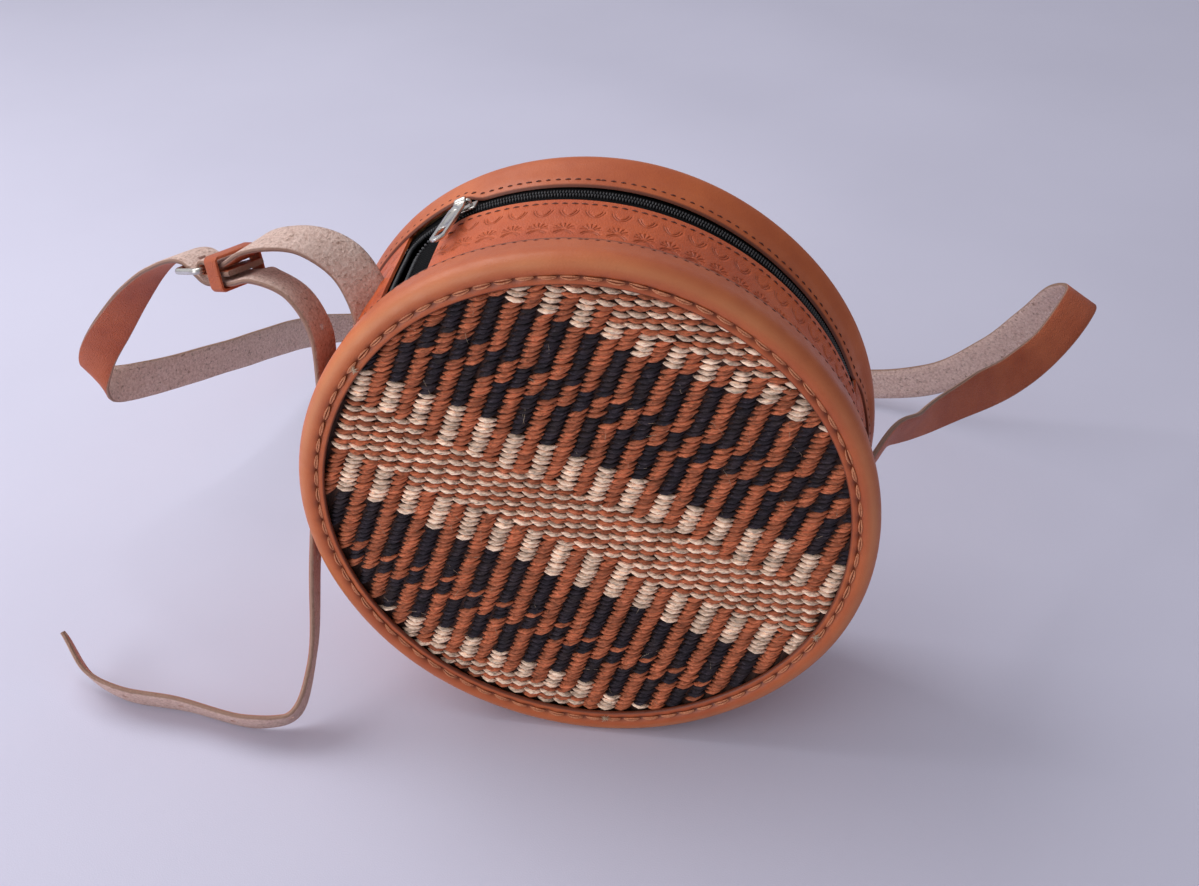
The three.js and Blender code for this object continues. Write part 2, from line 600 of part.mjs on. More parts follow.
const eyeHole = WIRE_RADIUS + FIT;
const eye = rod(eyeHole + 1.2, PRONG_EYE, eyeHole).rotateZ(Math.PI / 2);
const prongStart = new THREE.Vector3(eyeHole + 0.6, 0, 0.6);
const prongTip = new THREE.Vector3(PRONG_REACH, 0, WIRE_RADIUS + PRONG_RADIUS + 0.9);
const prongRun = prongTip.clone().sub(prongStart);
const pin = new THREE.CylinderGeometry(PRONG_RADIUS * 0.8, PRONG_RADIUS, prongRun.length(), 8);
pin.translate(0, prongRun.length() / 2, 0);
const upright = new THREE.Vector3(0, 1, 0);
pin.applyQuaternion(new THREE.Quaternion().setFromUnitVectors(upright, prongRun.normalize()));
pin.translate(prongStart.x, prongStart.y, prongStart.z);
add('buckle_prong', joined([eye, pin]).applyMatrix4(bucklePlace), NICKEL);

// Keeper: a leather loop round both straps behind the buckle.
const keeperLow = -FOLD_RADIUS - STRAP_THICKNESS / 2 - FIT;
const keeperHigh = UNDER + 0.3 + STRAP_THICKNESS / 2 + FIT;
const keeperHalf = STRAP_WIDTH / 2 + 2 * SIDE_PLAY;
const strip = (u, v, c, s, radius) => {
  const at = (x, r) => new THREE.Vector3(KEEPER_CENTRE + x, v + r * s, u + r * c);
  const [near, far] = [-KEEPER_WIDTH / 2, KEEPER_WIDTH / 2];
  const outer = radius + KEEPER_THICKNESS;
  return [at(near, radius), at(far, radius), at(far, outer), at(near, outer)];
};
const keeper = roundedLoop(keeperLow, keeperHigh, keeperHalf, 0.8, strip);
add('strap_keeper', keeper.applyMatrix4(bucklePlace), STRAP_LEATHER);

export default bag;
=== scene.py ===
# %% [markdown]
# # A round shoulder bag of woven sisal and leather
# Two woven discs stand in rolled leather rims. A leather band with a curved zip joins them, and a long
# strap runs from the band to a buckle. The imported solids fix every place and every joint. This lesson
# loads them, models each visible piece over its solid, and gives every piece a finish.

# %% Load the solids
import math
import bpy
import numpy as np
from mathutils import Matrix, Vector


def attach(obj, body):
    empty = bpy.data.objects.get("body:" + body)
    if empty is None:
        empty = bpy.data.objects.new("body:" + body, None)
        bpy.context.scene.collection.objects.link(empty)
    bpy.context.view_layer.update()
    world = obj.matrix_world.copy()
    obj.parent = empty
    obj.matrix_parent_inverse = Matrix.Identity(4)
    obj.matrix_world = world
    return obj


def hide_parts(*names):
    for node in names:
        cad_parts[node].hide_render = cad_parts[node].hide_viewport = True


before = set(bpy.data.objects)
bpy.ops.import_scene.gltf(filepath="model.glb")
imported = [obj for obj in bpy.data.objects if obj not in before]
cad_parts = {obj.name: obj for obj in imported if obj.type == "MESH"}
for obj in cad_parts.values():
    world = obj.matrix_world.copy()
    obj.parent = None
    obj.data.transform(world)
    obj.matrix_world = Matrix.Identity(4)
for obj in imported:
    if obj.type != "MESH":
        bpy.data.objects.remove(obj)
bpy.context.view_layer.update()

# %% [markdown]
# ## Camera
# The camera comes first, because the straps are checked against its view. It stands a little to the
# right of the bag and looks down on it. The line of sight gives its turn: a camera looks along its own
# -Z axis, and its Y axis is up. Colours are shown as they are written, so the view transform is Standard.

# %% Camera
sight = Vector((-0.1414, 0.8092, -0.5703))
bpy.ops.object.camera_add(
    location=(0.0960, -0.5404, 0.5067), rotation=sight.to_track_quat("-Z", "Y").to_euler(),
)
camera = bpy.context.object
camera.data.sensor_width = 36
camera.data.lens = 46.85
bpy.context.scene.camera = camera
bpy.context.scene.view_settings.view_transform = "Standard"
print("camera at", [round(x, 3) for x in camera.location])

# %% [markdown]
# ## Small helpers
# An operator works on whatever is selected, and the solids are still selected after loading. So each
# helper clears the selection first. Shapes are worked out in millimetres and written in metres.

# %% Selection and points
MM = 0.001


def select_none():
    bpy.ops.object.select_all(action="DESELECT")


def take(piece, *others):
    select_none()
    for chosen in (piece, *others):
        chosen.select_set(True)
    bpy.context.view_layer.objects.active = piece


def fresh(name):
    """The object that an operator has just added, under its own name."""
    piece = bpy.context.object
    piece.name = piece.data.name = name
    return piece


def points_of(piece):
    flat = np.empty(len(piece.data.vertices) * 3, np.float32)
    piece.data.vertices.foreach_get("co", flat)
    return flat.reshape(-1, 3).astype(float)


def move_points(piece, millimetres):
    metres = np.asarray(millimetres) * MM
    piece.data.vertices.foreach_set("co", metres.astype(np.float32).ravel())
    piece.data.update()


def mark(piece, name, values):
    """Keeps one number per point on the mesh, for a material to read."""
    layer = piece.data.attributes.new(name, "FLOAT", "POINT")
    layer.data.foreach_set("value", np.asarray(values, np.float32).ravel())


print("one millimetre is", MM, "m")

# %% [markdown]
# A modifier is added, set and applied at once, so that every piece ends as a plain mesh. Welding merges the
# points where a rolled grid meets itself, closes its open ends and turns the faces outwards.

# %% Modifiers, smoothing and welding
def modify(piece, kind, **settings):
    take(piece)
    change = piece.modifiers.new(kind.lower(), kind)
    for key, value in settings.items():
        setattr(change, key, value)
    bpy.ops.object.modifier_apply(modifier=change.name)


def thicken(piece, thick, offset=-1):
    modify(piece, "SOLIDIFY", thickness=thick * MM, offset=offset)


def smooth_faces(piece, degrees=180):
    take(piece)
    if degrees < 180:
        bpy.ops.object.shade_smooth_by_angle(angle=math.radians(degrees))
    else:
        bpy.ops.object.shade_smooth()


def weld(piece):
    take(piece)
    bpy.ops.object.mode_set(mode="EDIT")
    bpy.ops.mesh.select_all(action="SELECT")
    bpy.ops.mesh.remove_doubles(threshold=1e-6)
    bpy.ops.mesh.select_all(action="DESELECT")
    bpy.ops.mesh.select_non_manifold()
    bpy.ops.mesh.fill_holes(sides=0)
    bpy.ops.mesh.select_all(action="SELECT")
    bpy.ops.mesh.normals_make_consistent(inside=False)
    bpy.ops.object.mode_set(mode="OBJECT")


def join_all(pieces, name):
    take(*pieces)
    bpy.ops.object.join()
    return fresh(name)


def cut_away(piece, cutter):
    modify(piece, "BOOLEAN", object=cutter, operation="DIFFERENCE", solver="EXACT")
    bpy.data.objects.remove(cutter)


# %% [markdown]
# Two small sums come back in most shapes: a vector brought to length one, and a soft step from 0 to 1.

# %% Two small sums
def unit(vectors):
    return vectors / np.linalg.norm(vectors, axis=-1, keepdims=True)


def smoothstep(value, low, high):
    share = np.clip((np.asarray(value, float) - low) / (high - low), 0, 1)
    return share * share * (3 - 2 * share)


print("a soft step from 0 to 1:", smoothstep([0, 0.25, 0.5, 1], 0, 1))

# %% [markdown]
# A flat grid is the start of most leather and cloth here. Each of its points has a place (u, v) from 0 to
# 1, and a shape function says where that place goes on the bag. Small things that repeat, such as
# stitches, are modelled once as a seed. Thousands of separate objects would be slow to handle, so the
# seed's points are laid out on many little frames of three axes, and all the copies become one mesh.

# %% Grids and copies
def grid_piece(name, columns, rows, shape):
    select_none()
    bpy.ops.mesh.primitive_grid_add(x_subdivisions=columns, y_subdivisions=rows, size=1)
    piece = fresh(name)
    u, v = points_of(piece)[:, :2].T + 0.5
    move_points(piece, shape(u, v))
    return piece, u, v


def ball_seed(segments, rings):
    select_none()
    on_its_side = (0, math.pi / 2, 0)
    bpy.ops.mesh.primitive_uv_sphere_add(
        segments=segments, ring_count=rings, radius=1, rotation=on_its_side,
    )
    bpy.ops.object.transform_apply(rotation=True)
    return bpy.context.object


def lay_out(seed, name, shape, places, axes, mirrored=False):
    faces = [list(face.vertices) for face in seed.data.polygons]
    step = len(seed.data.vertices)
    shape = np.broadcast_to(shape, (len(places), step, 3))
    points = places[:, None, :] + np.einsum("knj,kji->kni", shape, axes)
    corners = [[i + k * step for i in face] for k in range(len(places)) for face in faces]
    if mirrored:
        corners = [face[::-1] for face in corners]
    bpy.data.objects.remove(seed)
    mesh = bpy.data.meshes.new(name)
    mesh.from_pydata((points.reshape(-1, 3) * MM).tolist(), [], corners)
    piece = bpy.data.objects.new(name, mesh)
    bpy.context.scene.collection.objects.link(piece)
    smooth_faces(piece)
    return piece


# %% [markdown]
# Every finished piece is dressed in the same way: it gets its finish, rides on a body of the part and, where
# it stands for a solid, replaces it.

# %% Dressing a piece
def dress(piece, body, slot, finish, *solids):
    piece.data.materials.clear()
    piece.data.materials.append(finish)
    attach(piece, body)
    if solids:
        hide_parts(*solids)
    print(piece.name, len(piece.data.polygons), "faces on", body)


# %% [markdown]
# ## Writing materials
# A material is a small graph. These helpers add one node at a time: a value goes straight into a socket
# and another node's output is linked to it. A group's sockets are made on its interface.

# %% Node helpers
def feed(tree, socket, value):
    if isinstance(value, bpy.types.NodeSocket):
        tree.links.new(value, socket)
    else:
        socket.default_value = value


def node(tree, kind, inputs=None, **settings):
    made = tree.nodes.new("ShaderNode" + kind)
    for key, value in settings.items():
        setattr(made, key, value)
    for key, value in (inputs or {}).items():
        feed(tree, made.inputs[key], value)
    return made


def mixed(tree, share, a, b, blend="MIX"):
    return node(tree, "Mix", {0: share, 6: a, 7: b}, data_type="RGBA", blend_type=blend).outputs[2]


def ranged(tree, value, low, high, to_low=0.0, to_high=1.0):
    settings = {"Value": value, "From Min": low, "From Max": high, "To Min": to_low, "To Max": to_high}
    return node(tree, "MapRange", settings).outputs["Result"]


def maths(tree, operation, a, b=0.0):
    return node(tree, "Math", {0: a, 1: b}, operation=operation).outputs[0]


def noise(tree, vector, scale, detail=4.0, rough=0.55):
    settings = {"Vector": vector, "Scale": scale, "Detail": detail, "Roughness": rough}
    return node(tree, "TexNoise", settings).outputs["Fac"]


def stretched(tree, vector, scale, turn=(0, 0, 0)):
    turned = node(tree, "Mapping", {"Vector": vector, "Rotation": turn}).outputs["Vector"]
    return node(tree, "Mapping", {"Vector": turned, "Scale": scale}).outputs["Vector"]


def attribute(tree, name):
    return node(tree, "Attribute", attribute_name=name).outputs


def bump(tree, height, strength, distance):
    settings = {"Height": height, "Strength": strength, "Distance": distance}
    return node(tree, "Bump", settings).outputs["Normal"]


# %% [markdown]
# A new finish starts with the place on the object, from which its patterns grow. It is completed with a
# colour, a roughness and a relief, and with the few plain values that differ from Blender's own.

# %% Starting and completing a finish
def new_finish(name):
    finish = bpy.data.materials.new(name)
    finish.use_nodes = True
    tree = finish.node_tree
    return finish, tree, node(tree, "TexCoord").outputs["Object"]


def complete(finish, colour, roughness, normal, plain=()):
    tree = finish.node_tree
    sockets = {"Base Color": colour, "Roughness": roughness, "Normal": normal, **dict(plain)}
    for label, value in sockets.items():
        feed(tree, tree.nodes["Principled BSDF"].inputs[label], value)
    print(finish.name, "finish has", len(tree.nodes), "nodes")


def shader_group(name, inputs, outputs):
    group = bpy.data.node_groups.new(name, "ShaderNodeTree")
    for way, sockets in (("INPUT", inputs), ("OUTPUT", outputs)):
        for label, kind in sockets:
            group.interface.new_socket(label, in_out=way, socket_type="NodeSocket" + kind)
    return group, group.nodes.new("NodeGroupInput").outputs, group.nodes.new("NodeGroupOutput").inputs


# %% [markdown]
# ## Leather
# Vegetable tanned leather is never one colour: the dye clouds, the hide has pores and fine veins, and
# hands leave paler and darker streaks. A picture of leather could be wrapped round each piece, but it would
# show its seams and stretch on the rolls. So all the leather pieces share one node group of noises, each
# with its own two tones.

# %% Leather group
hide, hide_in, hide_out = shader_group(
    "leather surface",
    [("Place", "Vector"), ("Pale", "Color"), ("Deep", "Color")],
    [("Color", "Color"), ("Roughness", "Float"), ("Height", "Float")],
)
clouds = noise(hide, hide_in["Place"], 24, 5, 0.6)
streaks = noise(hide, stretched(hide, hide_in["Place"], (90, 90, 210)), 1, 5, 0.65)
pores = node(hide, "TexVoronoi", {"Vector": hide_in["Place"], "Scale": 1300}).outputs["Distance"]
fine = noise(hide, hide_in["Place"], 1500, 3, 0.6)
cloudy = mixed(hide, ranged(hide, clouds, 0.36, 0.66), hide_in["Pale"], hide_in["Deep"])
rubbed = mixed(hide, ranged(hide, streaks, 0.5, 0.78, 0.0, 0.35), cloudy, hide_in["Deep"])
speck = mixed(hide, ranged(hide, pores, 0.05, 0.22, 0.3, 0.0), rubbed, (0.12, 0.03, 0.015, 1))
feed(hide, hide_out["Color"], speck)
feed(hide, hide_out["Roughness"], ranged(hide, streaks, 0.3, 0.75, 0.4, 0.62))
feed(hide, hide_out["Height"], maths(hide, "ADD", maths(hide, "MULTIPLY", pores, 0.7), fine))


def leather(tree, place, pale, deep):
    return node(tree, "Group", {"Place": place, "Pale": pale, "Deep": deep}, node_tree=hide).outputs


print("leather group has", len(hide.nodes), "nodes")

# %% [markdown]
# The strap shows both sides of the hide. Its outer side is smooth and tan. Its inner side is pale suede with
# dark flecks, and it turns redder where it comes near the bag. Attributes on the strap's mesh tell the
# material which side it is on, how far the red tint goes and where the edge was cut.

# %% Strap finish
strap_leather, tree, place = new_finish("strap_leather")
outside = attribute(tree, "grain_side")["Fac"]
red_tint = attribute(tree, "red_tint")["Fac"]
tan = leather(tree, place, (0.58, 0.145, 0.06, 1), (0.42, 0.084, 0.034, 1))
nap = noise(tree, place, 750, 6, 0.7)
tufts = noise(tree, stretched(tree, place, (380, 380, 620)), 1, 5, 0.65)
suede = mixed(tree, ranged(tree, nap, 0.35, 0.62), (0.68, 0.44, 0.37, 1), (0.98, 0.74, 0.66, 1))
flecked = mixed(tree, ranged(tree, tufts, 0.57, 0.67, 0.0, 0.65), suede, (0.26, 0.12, 0.07, 1))
reddened = mixed(tree, ranged(tree, nap, 0.3, 0.7, 0.85, 0.55), flecked, (0.5, 0.19, 0.13, 1))
red_tinted = mixed(tree, red_tint, flecked, reddened)
both = mixed(tree, outside, red_tinted, tan["Color"])
pile = maths(tree, "MULTIPLY", maths(tree, "ADD", nap, tufts), 2.5)
relief = node(tree, "Mix", {0: outside, 2: pile, 3: tan["Height"]}).outputs[0]
complete(
    strap_leather,
    mixed(tree, attribute(tree, "edge")["Fac"], both, (0.42, 0.25, 0.19, 1)),
    ranged(tree, outside, 0.0, 1.0, 0.93, 0.48),
    bump(tree, relief, 0.75, 0.0011),
    {"Specular IOR Level": 0.3},
)

# %% [markdown]
# ## Straps
# A strap is a flat cord: a long strip with a fixed width that twists as it goes. Its route is a list of points
# with the direction across the strap at each, the same list the solids follow. A smooth curve goes through the
# points, and a flat rounded section is swept along it. Curves in Blender choose their own twist, so the sweep
# is done on a grid instead, where the twist is ours. Near the buckle both straps follow its bar, so those
# points are given along the buckle, across it and out of it.

# %% Axes at the buckle's bar
bar = np.array([-165.4, 13.6, 190.0])
along = unit(np.array([-0.844, 0.445, -0.301]))
across = np.array([0.486, 0.871, -0.075])
across = unit(across - across.dot(along) * along)
out = np.cross(along, across)
buckle_axes = np.stack([along, across, out])


def at_buckle(forward, outward, sign):
    return [*(bar + forward * along + outward * out), *(sign * across)]


print("the buckle points along", along.round(3))

# %% Routes of the two straps
FOLD, OVER_FRAME = 3.1, 5.9
fold_turns = np.radians([0, 45, 90, 135, 180])
fold = [at_buckle(FOLD * math.sin(t), -FOLD * math.cos(t), 1) for t in fold_turns]
short_route = [
    [-90, -6, 172, 0.53, 0.74, 0.4], [-96, -1, 191, 0.53, 0.74, 0.4], [-105, 2, 203, 0.45, 0.86, 0.3],
    [-120, 3, 210, 0.23, 0.96, 0.15], [-135, 4, 209, 0.1, 0.97, 0.03], [-146, 6, 204, 0.25, 0.95, -0.04],
    at_buckle(-12, -1.6, 1), *fold, at_buckle(-12, 1.8, 1), at_buckle(-18, 1.6, 1),
]
long_route = [
    [113, -1, 123, 0, -0.7, 0.7], [124, 25, 127, 0, -0.66, 0.75], [133, 43, 121, 0, -0.58, 0.8],
    [147, 70, 113, -0.2, -0.37, 0.9], [164, 96, 108, -0.4, -0.1, 0.88], [182, 123, 103, -0.5, 0.14, 0.82],
    [200, 147, 107, -0.56, 0.29, 0.75], [213, 168, 116, -0.76, 0.23, 0.55],
    [217, 182, 117, -0.84, 0.18, 0.46], [210, 197, 107, -0.75, 0.13, 0.6], [199, 211, 83, -0.55, 0.14, 0.75],
    [182, 221, 57, -0.35, 0.1, 0.88], [155, 231, 31, -0.15, 0.03, 0.97], [107, 246, 13, 0, 0, 1],
    [25, 261, 10, 0, 0, 1], [-76, 270, 10, 0, 0, 1], [-156, 268, 11, 0, 0, 1], [-199, 247, 19, 0, 0, 1],
    [-212, 205, 38, 0, 0, 1], [-228, 137, 62, 0, 0, 1], [-250, 90, 75, -0.1, 0, 1],
    [-261, 73, 81, -0.4, 0.1, 0.85], [-264, 64, 90, -0.8, 0.32, 0.6], [-259, 59, 104, -0.85, 0.03, 0.5],
    [-243, 52, 128, -0.74, -0.37, 0.3], [-218, 42, 160, -0.48, -0.71, 0.2],
    [-200, 33, 177, -0.35, -0.9, 0.15], at_buckle(15, -2.95, -1),
    at_buckle(OVER_FRAME * 0.56, OVER_FRAME * 0.85, -1), at_buckle(0, 6.1, -1), at_buckle(-15, 6.2, -1),
    [-140, -1, 194, -0.2, -0.94, 0.2], [-125, -5, 190, -0.22, -0.86, 0.34],
    [-115.5, -8, 176, -0.15, -0.86, 0.38], [-114.2, -10, 152, -0.05, -0.92, 0.3],
    [-118, -16, 118, 0.04, -0.93, 0.3], [-118, -38, 76, 0.15, -0.86, 0.45], [-117, -58, 36, 0.22, -0.78, 0.58],
    [-124, -71, 13, 0.15, -0.62, 0.76], [-141, -75, 9.3, 0.02, -0.54, 0.84],
    [-177, -70, 9.3, 0.02, -0.5, 0.86], [-207, -68, 9.5, 0.1, -0.5, 0.86], [-225, -62, 13, 0.25, -0.58, 0.76],
    [-239, -51, 23, 0.38, -0.63, 0.66],
]
print(len(short_route), "and", len(long_route), "points on the routes")

# %% [markdown]
# The curve is a centripetal Catmull-Rom curve, which passes through its points without overshooting. The
# strip's section has sixteen points: a slightly crowned outer side, round edges and a flat inner side.

# %% Curve through a route
def curve_through(points, steps):
    ends = np.vstack([2 * points[0] - points[1], points, 2 * points[-1] - points[-2]])
    line = []
    for i in range(len(points) - 1):
        p0, p1, p2, p3 = ends[i:i + 4]
        g0, g1, g2 = (np.linalg.norm(b - a) ** 0.5 for a, b in ((p0, p1), (p1, p2), (p2, p3)))
        leave = ((p1 - p0) / g0 - (p2 - p0) / (g0 + g1) + (p2 - p1) / g1) * g1
        arrive = ((p2 - p1) / g1 - (p3 - p1) / (g1 + g2) + (p3 - p2) / g2) * g1
        for t in np.arange(steps) / steps:
            low = (2 * t**3 - 3 * t**2 + 1) * p1 + (t**3 - 2 * t**2 + t) * leave
            line.append(low + (3 * t**2 - 2 * t**3) * p2 + (t**3 - t**2) * arrive)
    return np.array(line + [points[-1]])


def run_along(line):
    return np.r_[0, np.cumsum(np.linalg.norm(np.diff(line, axis=0), axis=1))]


strap_section = np.array([
    (1, 0), (0.985, 0.6), (0.93, 0.96), (0.5, 1.05), (0, 1.08), (-0.5, 1.05), (-0.93, 0.96), (-0.985, 0.6),
    (-1, 0), (-0.985, -0.6), (-0.93, -0.96), (-0.5, -1), (0, -1), (0.5, -1), (0.93, -0.96), (0.985, -0.6),
])
print("strap section of", len(strap_section), "points")

# %% [markdown]
# The grid's columns run along the strap and its rows run round the section. The strip's width wavers a
# little, as hand-cut leather does. Each point is marked with its side, its edge and its distance along.

# %% A strip along a route
HALF_WIDTH, HALF_THICK = 9.4, 1.2


def strap_strip(name, route, steps):
    route = np.array(route, float)
    line = curve_through(route[:, :3], steps)
    share = np.arange(len(line)) / steps
    wide = np.stack([np.interp(share, np.arange(len(route)), route[:, k]) for k in (3, 4, 5)], -1)
    ahead = unit(np.gradient(line, axis=0))
    wide = unit(wide - (wide * ahead).sum(1, keepdims=True) * ahead)
    rise = np.cross(ahead, wide)
    run = run_along(line)
    half_width = HALF_WIDTH + 0.15 * np.sin(run / 17) + 0.1 * np.sin(run / 6.1 + 1)
    count, around = len(line) - 1, len(strap_section)

    def places_in(u, v):
        return np.rint(u * count).astype(int), np.rint(v * around).astype(int) % around

    def shape(u, v):
        i, j = places_in(u, v)
        side, up = strap_section[j].T
        return line[i] + (side * half_width[i])[:, None] * wide[i] + (up * HALF_THICK)[:, None] * rise[i]

    piece, u, v = grid_piece(name, count, around, shape)
    i, j = places_in(u, v)
    side, up = strap_section[j].T
    mark(piece, "grain_side", up > 0.3)
    mark(piece, "edge", (np.abs(side) > 0.95) | (np.abs(u - 0.5) > 0.4999))
    mark(piece, "run", run[i])
    weld(piece)
    smooth_faces(piece, 50)
    return piece, line, rise, run


# %% [markdown]
# The prong goes through a slot in each strap. A cube at the buckle is the cutter of a Boolean. The Boolean
# leaves its new points unmarked, so they take the marks of the nearest place on the strap.

# %% Slots for the prong
def slot_for_prong(piece, low, high, half_width, bottom, top):
    select_none()
    bpy.ops.mesh.primitive_cube_add(size=1)
    cutter = bpy.context.object
    size = np.array([high - low, 2 * half_width, top - bottom])
    middle = np.array([(low + high) / 2, 0, (bottom + top) / 2])
    move_points(cutter, bar + (points_of(cutter) * size + middle) @ buckle_axes)
    cut_away(piece, cutter)


def mend_marks(piece, line, rise, run):
    points = points_of(piece) / MM
    layers = [piece.data.attributes[name] for name in ("run", "grain_side")]
    distance, grain = (np.array([d.value for d in layer.data]) for layer in layers)
    near = np.linalg.norm(points[:, None] - line[None], axis=2).argmin(1)
    height = ((points - line[near]) * rise[near]).sum(1)
    new = distance == 0
    distance[new], grain[new] = run[near[new]], height[new] > 0.4
    for layer, values in zip(layers, (distance, grain)):
        layer.data.foreach_set("value", values.astype(np.float32))
    return distance


# %% [markdown]
# The short strap comes out of the side band, folds round the buckle's bar and is sewn back on itself. The
# fold needs no bending of its own, because the route already turns round the bar. One slot goes through
# both layers of the fold and leaves room for the prong's eye.

# %% The short strap with the buckle's fold
short_strap, short_line, short_rise, short_run = strap_strip("buckle_strap_leather", short_route, 8)
slot_for_prong(short_strap, -4.6, 5.6, 2.4, -6, 6)
distance = mend_marks(short_strap, short_line, short_rise, short_run)
mark(short_strap, "red_tint", 1 - smoothstep(distance, 8, 30))
dress(short_strap, "bag", "strap_leather", strap_leather, "buckle_strap")
print("short strap is", round(short_run[-1]), "mm long")

# %% [markdown]
# The long strap's tail has punched holes for the prong. One cylinder is placed through the strap at each
# hole, the cylinders are joined, and a Boolean modifier takes them away from the leather.

# %% The long strap
FIRST_HOLE, LAST_HOLE, HOLE_PITCH = 305, 15, 26
long_strap, long_line, long_rise, long_run = strap_strip("shoulder_strap_leather", long_route, 10)
slot_for_prong(long_strap, 0.5, 12, 2.0, -5, 10)
tail_end = long_run[-1]
punches = []
for hole in np.arange(tail_end - FIRST_HOLE, tail_end - LAST_HOLE, HOLE_PITCH):
    i = int(np.searchsorted(long_run, hole))
    bpy.ops.mesh.primitive_cylinder_add(vertices=12, radius=1.5 * MM, depth=12 * MM)
    punch = bpy.context.object
    punch.rotation_euler = Vector(long_rise[i]).to_track_quat("Z", "Y").to_euler()
    punch.location = long_line[i] * MM
    punches.append(punch)
cut_away(long_strap, join_all(punches, "punch"))
left = tail_end - mend_marks(long_strap, long_line, long_rise, long_run)
near_bag = (1 - smoothstep(left, 275, 320)) * (0.15 + 0.85 * smoothstep(left, 120, 235))
mark(long_strap, "red_tint", near_bag)
dress(long_strap, "bag", "strap_leather", strap_leather, "shoulder_strap")
print("long strap is", round(tail_end), "mm long with", len(punches), "holes")

# %% [markdown]
# ## Nickel
# The buckle, the slider and the pull are plated. Plating is metallic all over, with faint cloudy patches
# in its gloss and hairline scratches, which the roughness and a very shallow bump carry.

# %% Nickel finish
nickel, tree, place = new_finish("nickel_plate")
hazy = noise(tree, place, 160, 4)
scratches = noise(tree, stretched(tree, place, (2500, 300, 900), (0.3, 0.5, 0.2)), 1, 3)
complete(
    nickel,
    mixed(tree, ranged(tree, hazy, 0.35, 0.7), (0.68, 0.66, 0.63, 1), (0.5, 0.47, 0.44, 1)),
    ranged(tree, hazy, 0.3, 0.7, 0.16, 0.34),
    bump(tree, scratches, 0.15, 0.0001),
    {"Metallic": 1},
)

# %% [markdown]
# ## Buckle
# The buckle is a wire bent to a rounded rectangle, with a prong that turns on one of its sides. A torus is
# already a closed wire, so its rings are moved on to the rectangle's outline. The keeper is a leather
# loop with a flat section, made from a torus in the same way. Each row of an outline holds a place and the
# direction outwards from it.

# %% Loops on an outline
def circle(step):
    turns = np.radians(np.arange(0, 360, step))
    return np.stack([np.cos(turns), np.sin(turns)], -1)


def round_outline(radius):
    return np.hstack([radius * circle(10), circle(10)])


def loop_outline(low, high, half, corner, count):
    corners = [(high - corner, half - corner, 0), (low + corner, half - corner, 90)]
    corners += [(low + corner, corner - half, 180), (high - corner, corner - half, 270)]
    track = []
    for u, v, start in corners:
        for turn in np.radians(start + np.linspace(0, 90, 9)):
            x, y = math.cos(turn), math.sin(turn)
            track.append([u + corner * x, v + corner * y, x, y])
    track = np.array(track + track[:1])
    run = np.r_[0, np.cumsum(np.linalg.norm(np.diff(track[:, :2], axis=0), axis=1) + 1e-6)]
    at = np.sort(np.r_[run[:-1], np.linspace(0, run[-1], count, endpoint=False)[1:]])
    at = at[np.r_[True, np.diff(at) > 0.02]]
    rows = np.stack([np.interp(at, run, track[:, k]) for k in range(4)], -1)
    rows[:, 2:] = unit(rows[:, 2:])
    return rows


def loop_piece(name, outline, section, to_space):
    select_none()
    bpy.ops.mesh.primitive_torus_add(major_segments=len(outline), minor_segments=len(section))
    piece = fresh(name)
    u = outline[:, None, 0] + section[None, :, 0] * outline[:, None, 2]
    v = outline[:, None, 1] + section[None, :, 0] * outline[:, None, 3]
    w = np.broadcast_to(section[None, :, 1], u.shape)
    move_points(piece, to_space(u, v, w).reshape(-1, 3))
    weld(piece)
    smooth_faces(piece, 60)
    return piece


# %% Frame
WIRE = 1.4


def in_buckle(forward, sideways, outward):
    return bar + forward[..., None] * along + sideways[..., None] * across + outward[..., None] * out


buckle_wire = loop_piece("buckle_wire", loop_outline(0, 15, 12, 2, 40), WIRE * circle(30), in_buckle)
dress(buckle_wire, "buckle", "nickel", nickel, "buckle_frame")

# %% [markdown]
# The prong is a flat eye round the bar with a tapered pin. The pin is a ball drawn out from one end to the
# other, so that both its ends are round.

# %% Prong
EYE, PIN_THICK, PIN_THIN = 1.7, 1.1, 0.85
flat_strip = np.array([
    (0, -0.8), (0.2, -1), (0.8, -1), (1, -0.8), (1, 0), (1, 0.8), (0.8, 1), (0.2, 1), (0, 0.8), (0, 0),
])


def tapered_pin(start, tip, thick, thin):
    pin = ball_seed(14, 12)
    x, y, z = points_of(pin).T
    t = np.arccos(np.clip(-x, -1, 1)) / math.pi
    radius = (thick + (thin - thick) * t) * np.clip(np.minimum(t, 1 - t) * 9, 0, 1) ** 0.6
    scale = radius / (np.hypot(y, z) + 1e-9)
    run = unit(tip - start)
    side = unit(np.cross(run, [0, 1, 0.2]))
    middle = start + (t * np.linalg.norm(tip - start))[:, None] * run
    move_points(pin, middle + (y * scale)[:, None] * side + (z * scale)[:, None] * np.cross(run, side))
    return pin


prong_eye = loop_piece(
    "prong_eye", round_outline(EYE), flat_strip * [1.2, 1.8], lambda u, v, w: in_buckle(u, w, v),
)
pin_ends = in_buckle(np.array([2.3, 18]), np.zeros(2), np.array([0.9, 3.4]))
prong = join_all([prong_eye, tapered_pin(*pin_ends, PIN_THICK, PIN_THIN)], "buckle_pin")
smooth_faces(prong, 60)
dress(prong, "prong", "nickel", nickel, "buckle_prong")

# %% [markdown]
# The keeper holds the tail of the long strap down on the short one. It could be swept like a strap, but
# its tight square corners come more simply from the loop above. It shows only its smooth side.

